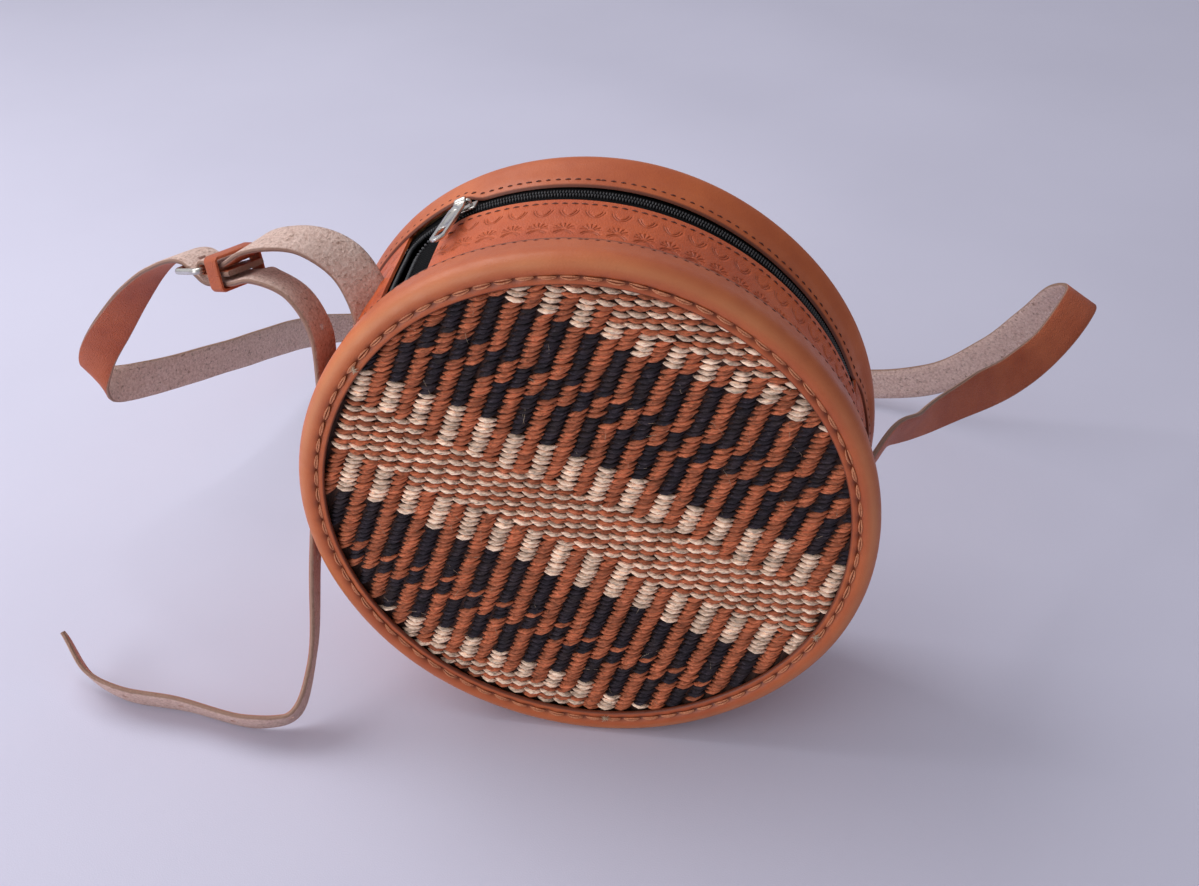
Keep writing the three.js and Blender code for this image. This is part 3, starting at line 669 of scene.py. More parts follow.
# %% Keeper
KEEPER_AT = 10.5
keeper = loop_piece(
    "keeper_loop", loop_outline(-4.65, 7.75, 10.5, 0.8, 40), flat_strip * [1.6, 4],
    lambda u, v, w: in_buckle(w - KEEPER_AT, v, u),
)
for name, value in (("grain_side", 1), ("edge", 0), ("red_tint", 0)):
    mark(keeper, name, np.full(len(keeper.data.vertices), value))
dress(keeper, "bag", "strap_leather", strap_leather, "strap_keeper")

# %% [markdown]

print("two straps made")

# %% [markdown]
# ## The bag's own coordinates
# A place on the bag is a radius, a clock angle from the top and a depth from the front face. The soft body
# leans: the back disc sits a little to the left and is turned slightly.

# %% Places on the leaning bag
BAG_DEPTH, MIDDLE_HEIGHT = 92, 119
SHIFT, TWIST = 5.4, 0.0524
SIDES = (("front", False), ("back", True))


def bag_place(x, depth, z):
    lean = depth / BAG_DEPTH - 0.5
    y = depth - BAG_DEPTH / 2 - TWIST * x * lean
    return np.stack(np.broadcast_arrays(x - SHIFT * lean, y, np.maximum(MIDDLE_HEIGHT + z, 0)), -1)


def bag_point(radius, clock, depth):
    angle = np.radians(clock)
    return bag_place(radius * np.sin(angle), depth, radius * np.cos(angle))


def from_front(depth, back):
    """A depth that is given from the nearer disc, as a depth from the front face."""
    return BAG_DEPTH - depth if back else depth


print("middle of the front face at", bag_place(0, 0, 0).round(1), "mm")

# %% [markdown]
# The side leather is not a true drum either. It sinks along the zip, which runs on a circle of its own,
# most at the upper right, and it hangs in between the two rims.

# %% Radius of the side leather
BAND = 116.9
ZIP_START, ZIP_END, BAND_END = -46, 72, 314
ZIP_X, ZIP_Z, ZIP_CIRCLE = -3, -2.2, 117.4
SLUMP_AT, SLUMP_HALF = 42, 42


def from_zip_start(clock):
    return (np.asarray(clock, float) - ZIP_START) % 360 + ZIP_START


def zip_radius(clock):
    angle = np.radians(clock)
    nearer = ZIP_X * np.sin(angle) + ZIP_Z * np.cos(angle)
    aside = ZIP_X * np.cos(angle) - ZIP_Z * np.sin(angle)
    return nearer + np.sqrt(ZIP_CIRCLE**2 - aside**2)


def slump(clock):
    turn = (np.asarray(clock, float) - SLUMP_AT + 180) % 360 - 180
    return np.cos(np.clip(turn / SLUMP_HALF, -1, 1) * math.pi / 2) ** 2


def band_radius(clock, depth):
    clock = from_zip_start(clock)
    beyond = np.where(clock > ZIP_END, np.minimum(clock - ZIP_END, BAND_END - clock), 0)
    sink = np.maximum(BAND - zip_radius(clock), 0) * (1 - smoothstep(beyond, 0, 30))
    share = smoothstep(depth, 15.5, 27)
    soft = 1 - 0.85 * smoothstep(depth, 45, 57) * (beyond == 0)
    hang = 0.9 * smoothstep(beyond, 4, 40) * np.sin(math.pi * np.clip((depth - 20) / 56, 0, 1))
    wave = 0.25 * np.sin(np.radians(clock * 5 + depth * 3))
    return BAND - (sink + (2.0 * slump(clock) + wave) * soft) * share - hang


print("radius at the top, upper right and right:", [round(float(band_radius(c, 50)), 1) for c in (0, 42, 90)])

# %% [markdown]
# ## Rim leather
# Each rim is one strip of leather that wraps a cane hoop: its inner edge lies on the disc, it rolls over the
# hoop and runs on along the side. The finish is the leather group in warm tan. It is paler on the crown of the
# roll, partly for wear and partly as a painted highlight. It is darker where the edges were cut, and darker as
# painted shade in the sewing groove and its holes.

# %% Rim finish
rim_leather, tree, place = new_finish("rim_leather")
tan = leather(tree, place, (0.56, 0.13, 0.035, 1), (0.43, 0.085, 0.024, 1))
patchy = ranged(tree, noise(tree, place, 14, 4), 0.35, 0.65, 0.15, 0.6)
# Paler crown of the roll: partly wear, partly a painted highlight where the light falls on the roll.
wear_and_highlight = maths(tree, "MULTIPLY", attribute(tree, "crown")["Fac"], patchy)
crowned = mixed(tree, wear_and_highlight, tan["Color"], (0.61, 0.25, 0.105, 1))
# The edge mark darkens the cut edges, and as painted shade the sewing groove and its stitch holes.
cut_edges_and_shade = maths(tree, "MULTIPLY", attribute(tree, "edge")["Fac"], 0.85)
complete(
    rim_leather,
    mixed(tree, cut_edges_and_shade, crowned, (0.11, 0.025, 0.013, 1)),
    tan["Roughness"],
    bump(tree, tan["Height"], 0.22, 0.0004),
    {"Specular IOR Level": 0.45, "Coat Weight": 0.06},
)

# %% [markdown]
# The strip's section starts on the disc, with the sewing groove pressed into its face. It goes over the
# roll and along the side, and comes back on the inside. The back rim's side part reaches further along the
# zip, where it is tucked down to the leather.

# %% Section of a rim
HOOP, ROLL, INNER_ROLL = 114, 6, 4.2
FRONT_FLANGE, BACK_FLANGE = 18.8, 16


def rim_section(flange):
    arc = np.radians([0, 12, 25, 38, 52, 65, 78, 90])
    face = [(108.1, 1.5), (108.3, 0.75), (109, 0.45), (110.2, 0.45), (110.9, 0.75), (111.5, 1.05)]
    face += [(112.1, 0.7), (112.8, 0.22)]
    roll = [(HOOP + ROLL * math.sin(a), ROLL - ROLL * math.cos(a)) for a in arc]
    side = [(119.95, 8), (119.8, 9.5), (119.55, 11), (119.3, flange - 4.2)]
    side += [(119, flange - 2.4), (118.65, flange - 0.6), (118.35, flange - 0.1)]
    under = [(117.4, flange), (117.2, flange - 0.8), (117.4, 11), (118, 9)]
    inner = [(HOOP + INNER_ROLL * math.sin(a), ROLL - INNER_ROLL * math.cos(a)) for a in arc[::-2]]
    return np.array(face + roll + side + under + inner + [(111.5, 2.2), (109, 2.5), (108.2, 2.3)])


def rim_wave(clock):
    return 0.25 * np.sin(np.radians(3 * clock) + 1) + 0.18 * np.sin(np.radians(7 * clock))


def back_reach(clock):
    turn = from_zip_start(clock)
    return BACK_FLANGE + 5 * smoothstep(turn, -31, -25) * (1 - smoothstep(turn, 70, 78))


def back_tuck(clock, depth):
    low = np.maximum(117.2 - band_radius(clock, BAG_DEPTH - depth), 0) * smoothstep(depth, 5, 14)
    return low + 0.32 * (back_reach(clock) - BACK_FLANGE) * smoothstep(depth, 15, 21)


print("rim section of", len(rim_section(FRONT_FLANGE)), "points")

# %% [markdown]
# A long grid is rolled up twice into the rim: along its length round the bag, and across its width into
# the section. The stitches pull the groove down at each hole, so the section changes a little on its way
# round. Merging doubles closes both seams.

# %% Rims
STITCHES, STEPS_PER_STITCH, GROOVE = 82, 6, 111.4


def rim_piece(name, flange, back, solid):
    section = rim_section(flange)
    count = STITCHES * STEPS_PER_STITCH
    groove = np.exp(-(((section[:, 0] - GROOVE) / 1.3) ** 2)) * (section[:, 1] < 1.3)
    # The front flange's dark cut edge reaches further than the back's, and this also paints the shade in the
    # gap along its edge.
    cut_edges_and_shade = (section[:, 0] < 108.6) | (section[:, 1] > flange - (0.3 if back else 0.7))
    # The crown mask is the outer crest of the roll, which the finish paints paler: wear and a painted
    # highlight.
    crown = np.exp(-(((section[:, 0] - 117.2) / 2.2) ** 2)) * (section[:, 1] < 5)

    def place_in(v):
        return np.rint(v * len(section)).astype(int) % len(section)

    def hole_at(u):
        return 0.5 + 0.5 * np.cos(np.radians(np.rint(u * count) * 360 / STEPS_PER_STITCH))

    def shape(u, v):
        clock = 360 * (np.rint(u * count) % count) / count
        radius, depth = section[place_in(v)].T
        radius = radius + rim_wave(clock)
        wave = 0.15 * np.sin(np.radians(5 * clock) + 0.5)
        depth = depth + wave + 0.75 * hole_at(u) * groove[place_in(v)]
        if back:
            depth = depth + np.maximum(depth - 10, 0) / 6 * (back_reach(clock) - BACK_FLANGE)
            radius = radius - back_tuck(clock, depth)
        return bag_point(radius, clock, from_front(depth, back))

    piece, u, v = grid_piece(name, count, len(section), shape)
    # The edge mark holds the cut edges and, as painted shade, the sewing groove, darkest at the stitch holes.
    mark(piece, "edge", np.maximum(cut_edges_and_shade[place_in(v)], groove[place_in(v)] * (0.3 + 0.7 * hole_at(u) ** 2)))
    mark(piece, "crown", crown[place_in(v)])
    weld(piece)
    smooth_faces(piece, 60)
    dress(piece, "bag", "rim_leather", rim_leather, solid)


rim_piece("front_rim_leather", FRONT_FLANGE, False, "front_rim_binding")
rim_piece("back_rim_leather", BACK_FLANGE, True, "back_rim_binding")

# %% [markdown]
# ## Thread
# The rim is sewn to the disc with a doubled tan thread in long stitches. The side seams are sewn in short
# dark stitches. Thread is twisted, so its finish is a fine slanted noise between two tones.

# %% Thread finishes
def thread_finish(name, pale, deep):
    finish, tree, place = new_finish(name)
    strands = noise(tree, stretched(tree, place, (2600, 2600, 1400), (0.6, 0.3, 0.8)), 1, 3)
    complete(
        finish,
        mixed(tree, ranged(tree, strands, 0.35, 0.65), deep, pale),
        ranged(tree, strands, 0.3, 0.7, 0.8, 0.55),
        bump(tree, strands, 0.5, 0.0002),
    )
    return finish


tan_thread = thread_finish("tan_thread", (0.72, 0.3, 0.15, 1), (0.44, 0.13, 0.055, 1))
dark_thread = thread_finish("dark_thread", (0.17, 0.04, 0.022, 1), (0.07, 0.016, 0.011, 1))

# %% [markdown]
# A stitch is a ball drawn out along the seam that dips into the leather at both ends. On the face each
# stitch has two strands that bow apart.

# %% Stitches on the face of the rims
FACE_SEAM, FACE_STITCH = 111.5, 3.85
rng = np.random.default_rng(7)


def stitch_shape(seed, half_length, thick, dip):
    x, y, z = points_of(seed).T
    return np.stack([x * half_length, y * thick, z * thick - dip * x**2], -1)


def face_stitches(name, back):
    seed = ball_seed(6, 6)
    clock = (np.arange(STITCHES) + 0.5) * 360 / STITCHES
    sine, level, cosine = np.sin(np.radians(clock)), 0 * clock, np.cos(np.radians(clock))
    ahead = np.stack([cosine, level, -sine], -1)
    outward = np.stack([sine, level, cosine], -1)
    facing = np.broadcast_to([0.0, 1.0 if back else -1.0, 0.0], ahead.shape)
    shapes, places = [], []
    for strand in (-1, 1):
        shape = np.repeat(stitch_shape(seed, FACE_STITCH, 0.42, 0.9)[None], STITCHES, 0)
        bow = 0.5 * strand * (1 - (shape[:, :, 0] / 3.9) ** 2) + 0.1 * strand
        shape[:, :, 1] += bow * rng.uniform(0.6, 1.15, (STITCHES, 1))
        shapes.append(shape)
        depth = 0.35 + rng.uniform(-0.1, 0.1, STITCHES)
        radius = FACE_SEAM + rng.uniform(-0.2, 0.2, STITCHES)
        places.append(bag_point(radius, clock, from_front(depth, back)))
    axes = np.tile(np.stack([ahead, outward, facing], 1), (2, 1, 1))
    piece = lay_out(seed, name, np.concatenate(shapes), np.concatenate(places), axes, mirrored=back)
    dress(piece, "bag", "rim_leather", tan_thread)


for side, back in SIDES:
    face_stitches(side + "_rim_stitches", back)

# %% [markdown]
# The seams along the side turn with the bag, so each short stitch gets a little frame of its own: along the
# seam, across it and out of the leather.

# %% Stitches along the side
SEAM_RADIUS, SIDE_PITCH, SIDE_STITCH = 118, 4.2, 1.35
SIDE_SEAM, FRONT_SEAM_DEPTH, BACK_SEAM_DEPTH = 119.05, 16.2, 94.8


def frames_along(clock, radius, depth, reach=0.6):
    def at(turn):
        return bag_point(radius(turn, depth), turn, depth)

    here = at(clock)
    ahead = unit(at(clock + reach) - at(clock - reach))
    away = unit(here - bag_place(0 * clock, depth, 0 * clock))
    away = unit(away - (away * ahead).sum(1, keepdims=True) * ahead)
    return here, np.stack([ahead, np.cross(away, ahead), away], 1)


def seam_stitches(name, clock, depth, radius, size=1.0):
    seed = ball_seed(6, 4)
    here, axes = frames_along(clock, radius, depth)
    shape = np.repeat(stitch_shape(seed, SIDE_STITCH, 0.34, 0.35)[None] * size, len(clock), 0)
    shape[:, :, 0] *= rng.uniform(0.85, 1.12, (len(clock), 1))
    shape[:, :, 1] += shape[:, :, 0] * rng.uniform(-0.08, 0.08, (len(clock), 1))
    dress(lay_out(seed, name, shape, here, axes), "bag", "band_leather", dark_thread)


def every(start, end, pitch):
    return np.arange(start, end, math.degrees(pitch / SEAM_RADIUS))


all_round = every(0, 360, SIDE_PITCH)
seam_stitches("front_side_stitches", all_round, FRONT_SEAM_DEPTH, lambda c, d: SIDE_SEAM + rim_wave(c))
seam_stitches(
    "back_side_stitches", all_round, BACK_SEAM_DEPTH - back_reach(all_round),
    lambda c, d: SIDE_SEAM + rim_wave(c) - back_tuck(c, BAG_DEPTH - d),
)

# %% [markdown]
# ## Side leather
# Three pieces of leather make the side: a narrow strip on each side of the zip and one long band below.
# They were stamped before sewing, with a row of double scallops, a row of small fans and a row of arches.
# Scallops and arches are parabolas, and a fan is a set of rays. A node group measures how near a place is
# to the nearest line and puts out a mask.

# %% Stamped lines as a node group
MOTIF = 10.7
ARCHES = [  # depth, drop and half width of each curve
    (43.2, 4.6, 4.0), (44.6, 3.4, 2.9), (32.0, -2.6, 4.0), (31.0, -2.2, 3.1),
]
FAN_BASE, FAN_INNER, FAN_OUTER, FAN_RAYS = 33.2, 1.5, 4.2, 6
stamps, stamps_in, stamps_out = shader_group(
    "stamped lines", [("Run", "Float"), ("Depth", "Float")], [("Mask", "Float")],
)


def calc(operation, a, b=0.0):
    return maths(stamps, operation, a, b)


def square(a):
    return calc("MULTIPLY", a, a)


def beyond_zero(a, b):
    return calc("MAXIMUM", calc("SUBTRACT", a, b), 0.0)


def arch_gap(aside, depth, middle, drop, half):
    line = calc("ADD", calc("MULTIPLY", square(aside), drop / half**2), middle)
    slope = calc("MULTIPLY", aside, 2 * drop / half**2)
    steep = calc("SQRT", calc("ADD", square(slope), 1.0))
    gap = calc("DIVIDE", calc("ABSOLUTE", calc("SUBTRACT", depth, line)), steep)
    return calc("ADD", gap, calc("MULTIPLY", beyond_zero(calc("ABSOLUTE", aside), half), 3.0))


def fan_gap(aside, depth):
    rise = calc("SUBTRACT", depth, FAN_BASE)
    reach = calc("SQRT", calc("ADD", square(aside), square(rise)))
    turn = calc("MULTIPLY", calc("ARCTAN2", rise, aside), FAN_RAYS / math.pi)
    ray = calc("MULTIPLY", calc("SUBTRACT", turn, calc("ROUND", turn)), math.pi / FAN_RAYS)
    gap = calc("MULTIPLY", reach, calc("ABSOLUTE", calc("SINE", ray)))
    long = calc("MULTIPLY", beyond_zero(reach, FAN_OUTER), 3.0)
    below = calc("MULTIPLY", calc("LESS_THAN", rise, -0.2), 9.0)
    return calc("ADD", calc("ADD", gap, below), calc("ADD", beyond_zero(FAN_INNER, reach), long))


shifted = calc("FLOORED_MODULO", calc("ADD", stamps_in["Run"], MOTIF / 2), MOTIF)
beside = calc("SUBTRACT", shifted, MOTIF / 2)
nearest = fan_gap(beside, stamps_in["Depth"])
for arch in ARCHES:
    nearest = calc("MINIMUM", nearest, arch_gap(beside, stamps_in["Depth"], *arch))
feed(stamps, stamps_out["Mask"], ranged(stamps, nearest, 0.15, 0.5, 1.0, 0.0))
print("stamp group has", len(stamps.nodes), "nodes")

# %% [markdown]
# The finish is the leather group in a redder tan. A hot stamp burnishes the leather, so the mask of the
# stamped lines darkens the colour a little and presses the bump down along the same lines.

# %% Side leather finish
band_leather, tree, place = new_finish("band_leather")
tan = leather(tree, place, (0.62, 0.115, 0.024, 1), (0.47, 0.072, 0.017, 1))
run, depth = attribute(tree, "run")["Fac"], attribute(tree, "stamp_depth")["Fac"]
pressed = node(tree, "Group", {"Run": run, "Depth": depth}, node_tree=stamps).outputs["Mask"]
low, high = maths(tree, "MULTIPLY", pressed, 0.8), maths(tree, "MULTIPLY", tan["Height"], 0.5)
complete(
    band_leather,
    mixed(tree, maths(tree, "MULTIPLY", pressed, 0.18), tan["Color"], (0.2, 0.04, 0.018, 1)),
    tan["Roughness"],
    bump(tree, maths(tree, "SUBTRACT", high, low), 0.7, 0.0007),
    {"Specular IOR Level": 0.5},
)

# %% [markdown]
# The mesh carries the relief itself: every stamped line is a groove, and each row of stamps sinks a little
# as a whole. The same sums as in the node group give the distance to the nearest line.

# %% Relief of the stamps
GROOVE_WIDTH, GROOVE_DEPTH, DENT_DEPTH = 0.55, 0.36, 0.2


def beside_motif(run):
    return (run + MOTIF / 2) % MOTIF - MOTIF / 2


def stamped_grooves(run, depth):
    aside = beside_motif(run)
    rise = depth - FAN_BASE
    reach, ray = np.hypot(aside, rise), np.arctan2(rise, aside)
    nearest_ray = np.round(ray * FAN_RAYS / math.pi) * math.pi / FAN_RAYS
    gap = reach * np.abs(np.sin(ray - nearest_ray)) + 9 * (rise < -0.2)
    gap = gap + np.maximum(FAN_INNER - reach, 0) + 3 * np.maximum(reach - FAN_OUTER, 0)
    for middle, drop, half in ARCHES:
        slope = 2 * drop * aside / half**2
        off = np.abs(depth - middle - drop * (aside / half) ** 2) / np.sqrt(1 + slope**2)
        gap = np.minimum(gap, off + 3 * np.maximum(np.abs(aside) - half, 0))
    return np.exp(-((gap / GROOVE_WIDTH) ** 2))


def dents(run, depth):
    aside = beside_motif(run)
    scallop = np.exp(-((aside / 3.2) ** 2) - ((depth - 45.2) / 3.2) ** 2)
    fan = np.exp(-((aside / 3.2) ** 2) - ((depth - 33.8) / 2.6) ** 2)
    return DENT_DEPTH * np.maximum(scallop, fan) + GROOVE_DEPTH * stamped_grooves(run, depth)


print("deepest stamp is", round(float(dents(np.arange(0, MOTIF, 0.1), 43.3).max()), 2), "mm")

# %% [markdown]
# A sheet is a grid along the side with a thickness. Its rows of points are set closer where the stamps
# are. The place along the seam and the depth go with the mesh as attributes, so that the material darkens
# the same lines.

# %% Sheets of side leather
def closer(v, knots):
    return np.interp(v, *np.array(knots).T)


def leather_sheet(name, columns, rows, clock_at, depth_at, stamp_depth, thick, solid):
    marks = {}

    def shape(u, v):
        clock = clock_at(u)
        depth = depth_at(clock, v)
        marks["run"] = np.radians(clock) * SEAM_RADIUS
        marks["stamp_depth"] = stamp_depth(depth)
        inside = smoothstep(np.minimum(u, 1 - u), 0.005, 0.03)
        relief = dents(marks["run"], marks["stamp_depth"]) * inside
        return bag_point(band_radius(clock, depth) - relief, clock, depth)

    piece, _, _ = grid_piece(name, columns, rows, shape)
    for key, values in marks.items():
        mark(piece, key, values)
    thicken(piece, thick)
    smooth_faces(piece, 60)
    dress(piece, "bag", "band_leather", band_leather, solid)


# %% [markdown]
# The front strip ends at the open mouth with a round corner. The back strip is narrow and wavy along the
# zip. The lower band is one long strip round the sides and the bottom, stamped along both its edges.

# %% The three pieces of side leather
DEGREE = 0.4901  # clock degrees to a millimetre along the side
CORNER, CORNER_CLOCK, CORNER_DEPTH = 12, -26.8, 45
UNDER_RIM, BAND_WIDTH, BOTH_EDGES = 9.5, 73, 98
BACK_LINE = UNDER_RIM + BAND_WIDTH
FRONT_ROWS = [(0, 0), (0.12, 0.32), (0.88, 0.82), (1, 1)]
LOWER_ROWS = [(0, 0), (0.07, 0.2), (0.45, 0.49), (0.55, 0.51), (0.93, 0.8), (1, 1)]


def front_edge(clock):
    past = np.clip((CORNER_CLOCK - clock) / DEGREE, 0, CORNER)
    return CORNER_DEPTH + np.sqrt(CORNER**2 - past**2)


def back_edge(clock):
    hidden = 2.6 * (1 - smoothstep(clock, -30, -26))
    return 75.3 + hidden + 0.5 * np.sin(clock * 1.7) + 0.3 * np.sin(clock * 4.1)


leather_sheet(
    "front_zip_leather", 460, 80, lambda u: -32.66 + 104.5 * u,
    lambda c, v: UNDER_RIM + closer(v, FRONT_ROWS) * (front_edge(c) - UNDER_RIM),
    lambda d: d, 1.8, "front_zip_band",
)
leather_sheet(
    "back_zip_leather", 230, 14, lambda u: -45.85 + 117.7 * u,
    lambda c, v: BACK_LINE - (1 - v) * (BACK_LINE - back_edge(c)),
    lambda d: d, 1.0, "back_zip_band",
)
leather_sheet(
    "lower_side_leather", 600, 76, lambda u: ZIP_END + (BAND_END - ZIP_END) * u,
    lambda c, v: UNDER_RIM + BAND_WIDTH * closer(v, LOWER_ROWS),
    lambda d: np.minimum(d, BOTH_EDGES - d), 1.3, "lower_gusset_band",
)
beside_zip = every(-30.4, 71, 4.1)
seam_stitches(
    "zip_front_stitches", beside_zip, front_edge(beside_zip - 1.6) - 3.5,
    lambda c, d: band_radius(c, d) + 0.15, 1.2,
)

# %% [markdown]
# ## Woven discs
# The discs are twined from sisal: flat cords run in slanted columns, and every visible bead is one bend of a
# cord over the cords behind it. The finish takes each bead's own colour from the mesh and streaks it with
# fibres and a little dust. A few fibres are painted pale grey: partly pale strands, partly painted glints of
# light on the fibres.

# %% Sisal finish
sisal, tree, place = new_finish("sisal")
strand = attribute(tree, "strand")["Color"]
along_bead = stretched(tree, place, (230, 800, 1350), (0, math.radians(9), 0))
fibres = noise(tree, along_bead, 1, 4, 0.65)
shade = ranged(tree, fibres, 0.3, 0.7, 0.3, 1.7)
tone = node(tree, "CombineColor", {0: shade, 1: shade, 2: shade}).outputs[0]
shaded = mixed(tree, 1.0, strand, tone, "MULTIPLY")
# Pale grey fibres: partly pale strands, partly painted glints of light on the fibres.
pale_fibres_and_glints = mixed(tree, ranged(tree, fibres, 0.56, 0.78, 0.0, 0.14), shaded, (0.42, 0.36, 0.33, 1))
dusty = ranged(tree, noise(tree, place, 90, 3), 0.45, 0.75, 0.0, 0.07)
complete(
    sisal,
    mixed(tree, dusty, pale_fibres_and_glints, (0.3, 0.17, 0.1, 1)),
    ranged(tree, fibres, 0.3, 0.7, 0.85, 0.62),
    bump(tree, fibres, 0.8, 0.0007),
    {"Sheen Weight": 0.03, "Specular IOR Level": 0.3},
)

# %% [markdown]
# Slanted zones of cream, black and rust change the pattern from bars to checks and lines. Each zone is
# named by its lower limit and by the colours of its two kinds of column. In the lower half of the disc the
# columns are set over by half a column.

# %% Pattern of the weave
ROW, COLUMN, LEAN, ZONE_SLOPE = 2.42, 6.84, 0.351, 0.393
ZONES = [
    (98.5, "lines"), (87.8, "rust cream"), (61.3, "black rust"), (50.2, "rust black"), (29, "black rust"),
    (11, "cream rust"), (-19, "lines"), (-37.5, "rust cream"), (-63.5, "rust black"), (-66.3, "rust rust"),
    (-74.5, "rust black"), (-93.2, "black rust"), (-104, "cream rust"), (-999, "lines"),
]


def column_at(column, z):
    """How far across the disc a column of beads is at the height z."""
    low = 1 - smoothstep(z + ZONE_SLOPE * (6.9 * column + LEAN * z), -13, 13)
    return 0.94 + 3.38 * low + (COLUMN + 0.21 * low) * column + LEAN * z


def strand_at(column, row, x, z):
    kind = next(kind for low, kind in ZONES if z + ZONE_SLOPE * x > low)
    if kind == "lines":
        return "line" if row % 2 == 0 else "rust line"
    return kind.split()[column % 2]


def bead_depth(radius):
    return 3.4 - 0.6 * (1 - (radius / 108) ** 2) + 0.8 * smoothstep(radius, 103, 109)


print(len(ZONES), "zones of pattern")

# %% [markdown]
# A bead is a ball drawn out to a lens. A rust or black bead slants up to the right, and a cream one lies
# almost level. Rust beads are a little longer, and black ones are shorter and lie deeper. The left tip is
# drawn out to a point, and both tips sink between the beads of the next columns. Real cords could be bent
# over and under, but only these bends show. Every bead is a little different in place, slant, size and tone.

# %% Beads
RUST, CREAM, BLACK = (0.48, 0.132, 0.058), (0.94, 0.68, 0.51), (0.019, 0.0125, 0.02)
STRANDS = {  # colour, slant in degrees, length and extra depth
    "rust": (RUST, 22, 1.06, 0), "rust line": (RUST, -1, 1, 0), "cream": (CREAM, -1, 1, 0),
    "line": (CREAM, -9, 1, 0), "black": (BLACK, 22, 0.9, 0.25),
}
BEAD_LENGTH, BEAD_THICK, BEAD_HEIGHT, BEAD_ARCH = 4.8, 1.15, 1.9, 1.6


def bead_shape(seed):
    x, y, z = points_of(seed).T
    point = 1 - np.where(x < 0, 0.6, 0.4) * np.abs(x) ** 1.4
    height = BEAD_HEIGHT * z * point - BEAD_ARCH * x**2 + 0.3 * x
    return np.stack([BEAD_LENGTH * x, BEAD_THICK * y * point, height], -1)


def woven_beads(name, back, solid):
    random = np.random.default_rng(11)
    cells = [(c, i, ROW * i + 0.3 * c) for c in range(-24, 25) for i in range(-50, 51)]
    cells = [(c, i, column_at(c, z), z) for c, i, z in cells]
    cells = [cell for cell in cells if math.hypot(*cell[2:]) < 108.6]
    colour, slant, length, sunk = zip(*(STRANDS[strand_at(*cell)] for cell in cells))
    count = len(cells)
    across_disc, up_disc = np.array([cell[2:] for cell in cells]).T + random.uniform(-0.25, 0.25, (2, count))
    tilt = np.radians(slant + random.uniform(-6, 6, count))
    side, level = (-1.0 if back else 1.0), np.zeros(count)
    ahead = np.stack([side * np.cos(tilt), level, np.sin(tilt)], -1)
    upward = np.stack([-side * np.sin(tilt), level, np.cos(tilt)], -1)
    facing = np.broadcast_to([0.0, -side, 0.0], ahead.shape)
    depth = bead_depth(np.hypot(across_disc, up_disc)) + random.uniform(-0.2, 0.2, count) + sunk
    seed = ball_seed(7, 6)
    shape = bead_shape(seed) * random.uniform(0.92, 1.08, (count, 1, 1))
    shape[:, :, 0] *= np.array(length)[:, None]
    tint = np.ones((count, 4))
    tint[:, :3] = np.array(colour) * random.uniform(0.75, 1.25, (count, 1))
    places = bag_place(side * across_disc, from_front(depth, back), up_disc)
    piece = lay_out(seed, name, shape, places, np.stack([ahead, upward, facing], 1))
    layer = piece.data.attributes.new("strand", "FLOAT_COLOR", "POINT")
    layer.data.foreach_set("color", np.repeat(tint, shape.shape[1], 0).astype(np.float32).ravel())
    dress(piece, "bag", "woven_sisal", sisal, solid)
    return places


front_places = woven_beads("front_weave", False, "front_woven_panel")
woven_beads("back_weave", True, "back_woven_panel")

# %% [markdown]
# Between the beads the cords behind them show as ribs. They are coloured near black, which paints the shade in
# the gaps between the beads. Only slits of them can be seen, so they are one round grid per disc in place of
# many cords: a square grid is pressed into a circle, raised along the columns and given a thickness.

# %% Cords behind the beads
shade_ground, tree, place = new_finish("sisal_ground_shade")
along_cord = stretched(tree, place, (1500, 700, 260), (0, math.radians(-18), 0))
fibres = noise(tree, along_cord, 1, 4, 0.65)
complete(
    shade_ground,
    # Near-black tones: painted shade in the gaps between the beads.
    mixed(tree, ranged(tree, fibres, 0.35, 0.7), (0.02, 0.007, 0.005, 1), (0.08, 0.026, 0.014, 1)),
    ranged(tree, fibres, 0.3, 0.7, 0.9, 0.7),
    bump(tree, fibres, 0.6, 0.0004),
)


def round_sheet(name, cells, radius, depth_at, back, thick):
    side = -1 if back else 1

    def shape(u, v):
        a, b = 2 * u - 1, 2 * v - 1
        x, z = radius * a * np.sqrt(1 - b * b / 2), radius * b * np.sqrt(1 - a * a / 2)
        return bag_place(side * x, from_front(depth_at(x, z), back), z)

    piece, _, _ = grid_piece(name, cells, cells, shape)
    thicken(piece, thick)
    smooth_faces(piece)
    return piece


def ribs(x, z):
    rib = 0.55 * np.cos(2 * math.pi * (x - LEAN * z) / COLUMN)
    return 4.7 - rib + 0.4 * smoothstep(np.hypot(x, z), 103, 109)


for side, back in SIDES:
    dress(round_sheet(side + "_weave_ground", 120, 110.8, ribs, back, 1.2), "bag", "woven_sisal", shade_ground)

# %% [markdown]
# Sisal sheds: a few loose fibres stand off the weave, and small tufts of thread end at the rim. Each is a
# very thin ball, bent to one side.

# %% Loose fibres
def loose_fibres(name, roots, length, thick, finish):
    seed = ball_seed(3, 7)
    x, y, z = points_of(seed).T
    count = len(roots)
    turn = rng.uniform(0, 2 * math.pi, count)
    lift = rng.uniform(0.1, 0.5, count)
    ahead = unit(np.stack([np.cos(turn), -lift, np.sin(turn)], -1))
    over = unit(np.cross(ahead, [0, -1.0, 0]))
    axes = np.stack([ahead, over, np.cross(ahead, over)], 1)
    reach = rng.uniform(0.5, 1.3, (count, 1)) * length
    bend = rng.uniform(-0.3, 0.3, (count, 1))
    flat = np.broadcast_to(z * thick, (count, len(x)))
    shape = np.stack([x * reach, y * thick + bend * reach * x**2, flat], -1)
    piece = lay_out(seed, name, shape, roots + [0, -1.2, 0], axes)
    dress(piece, "bag", "woven_sisal", finish)


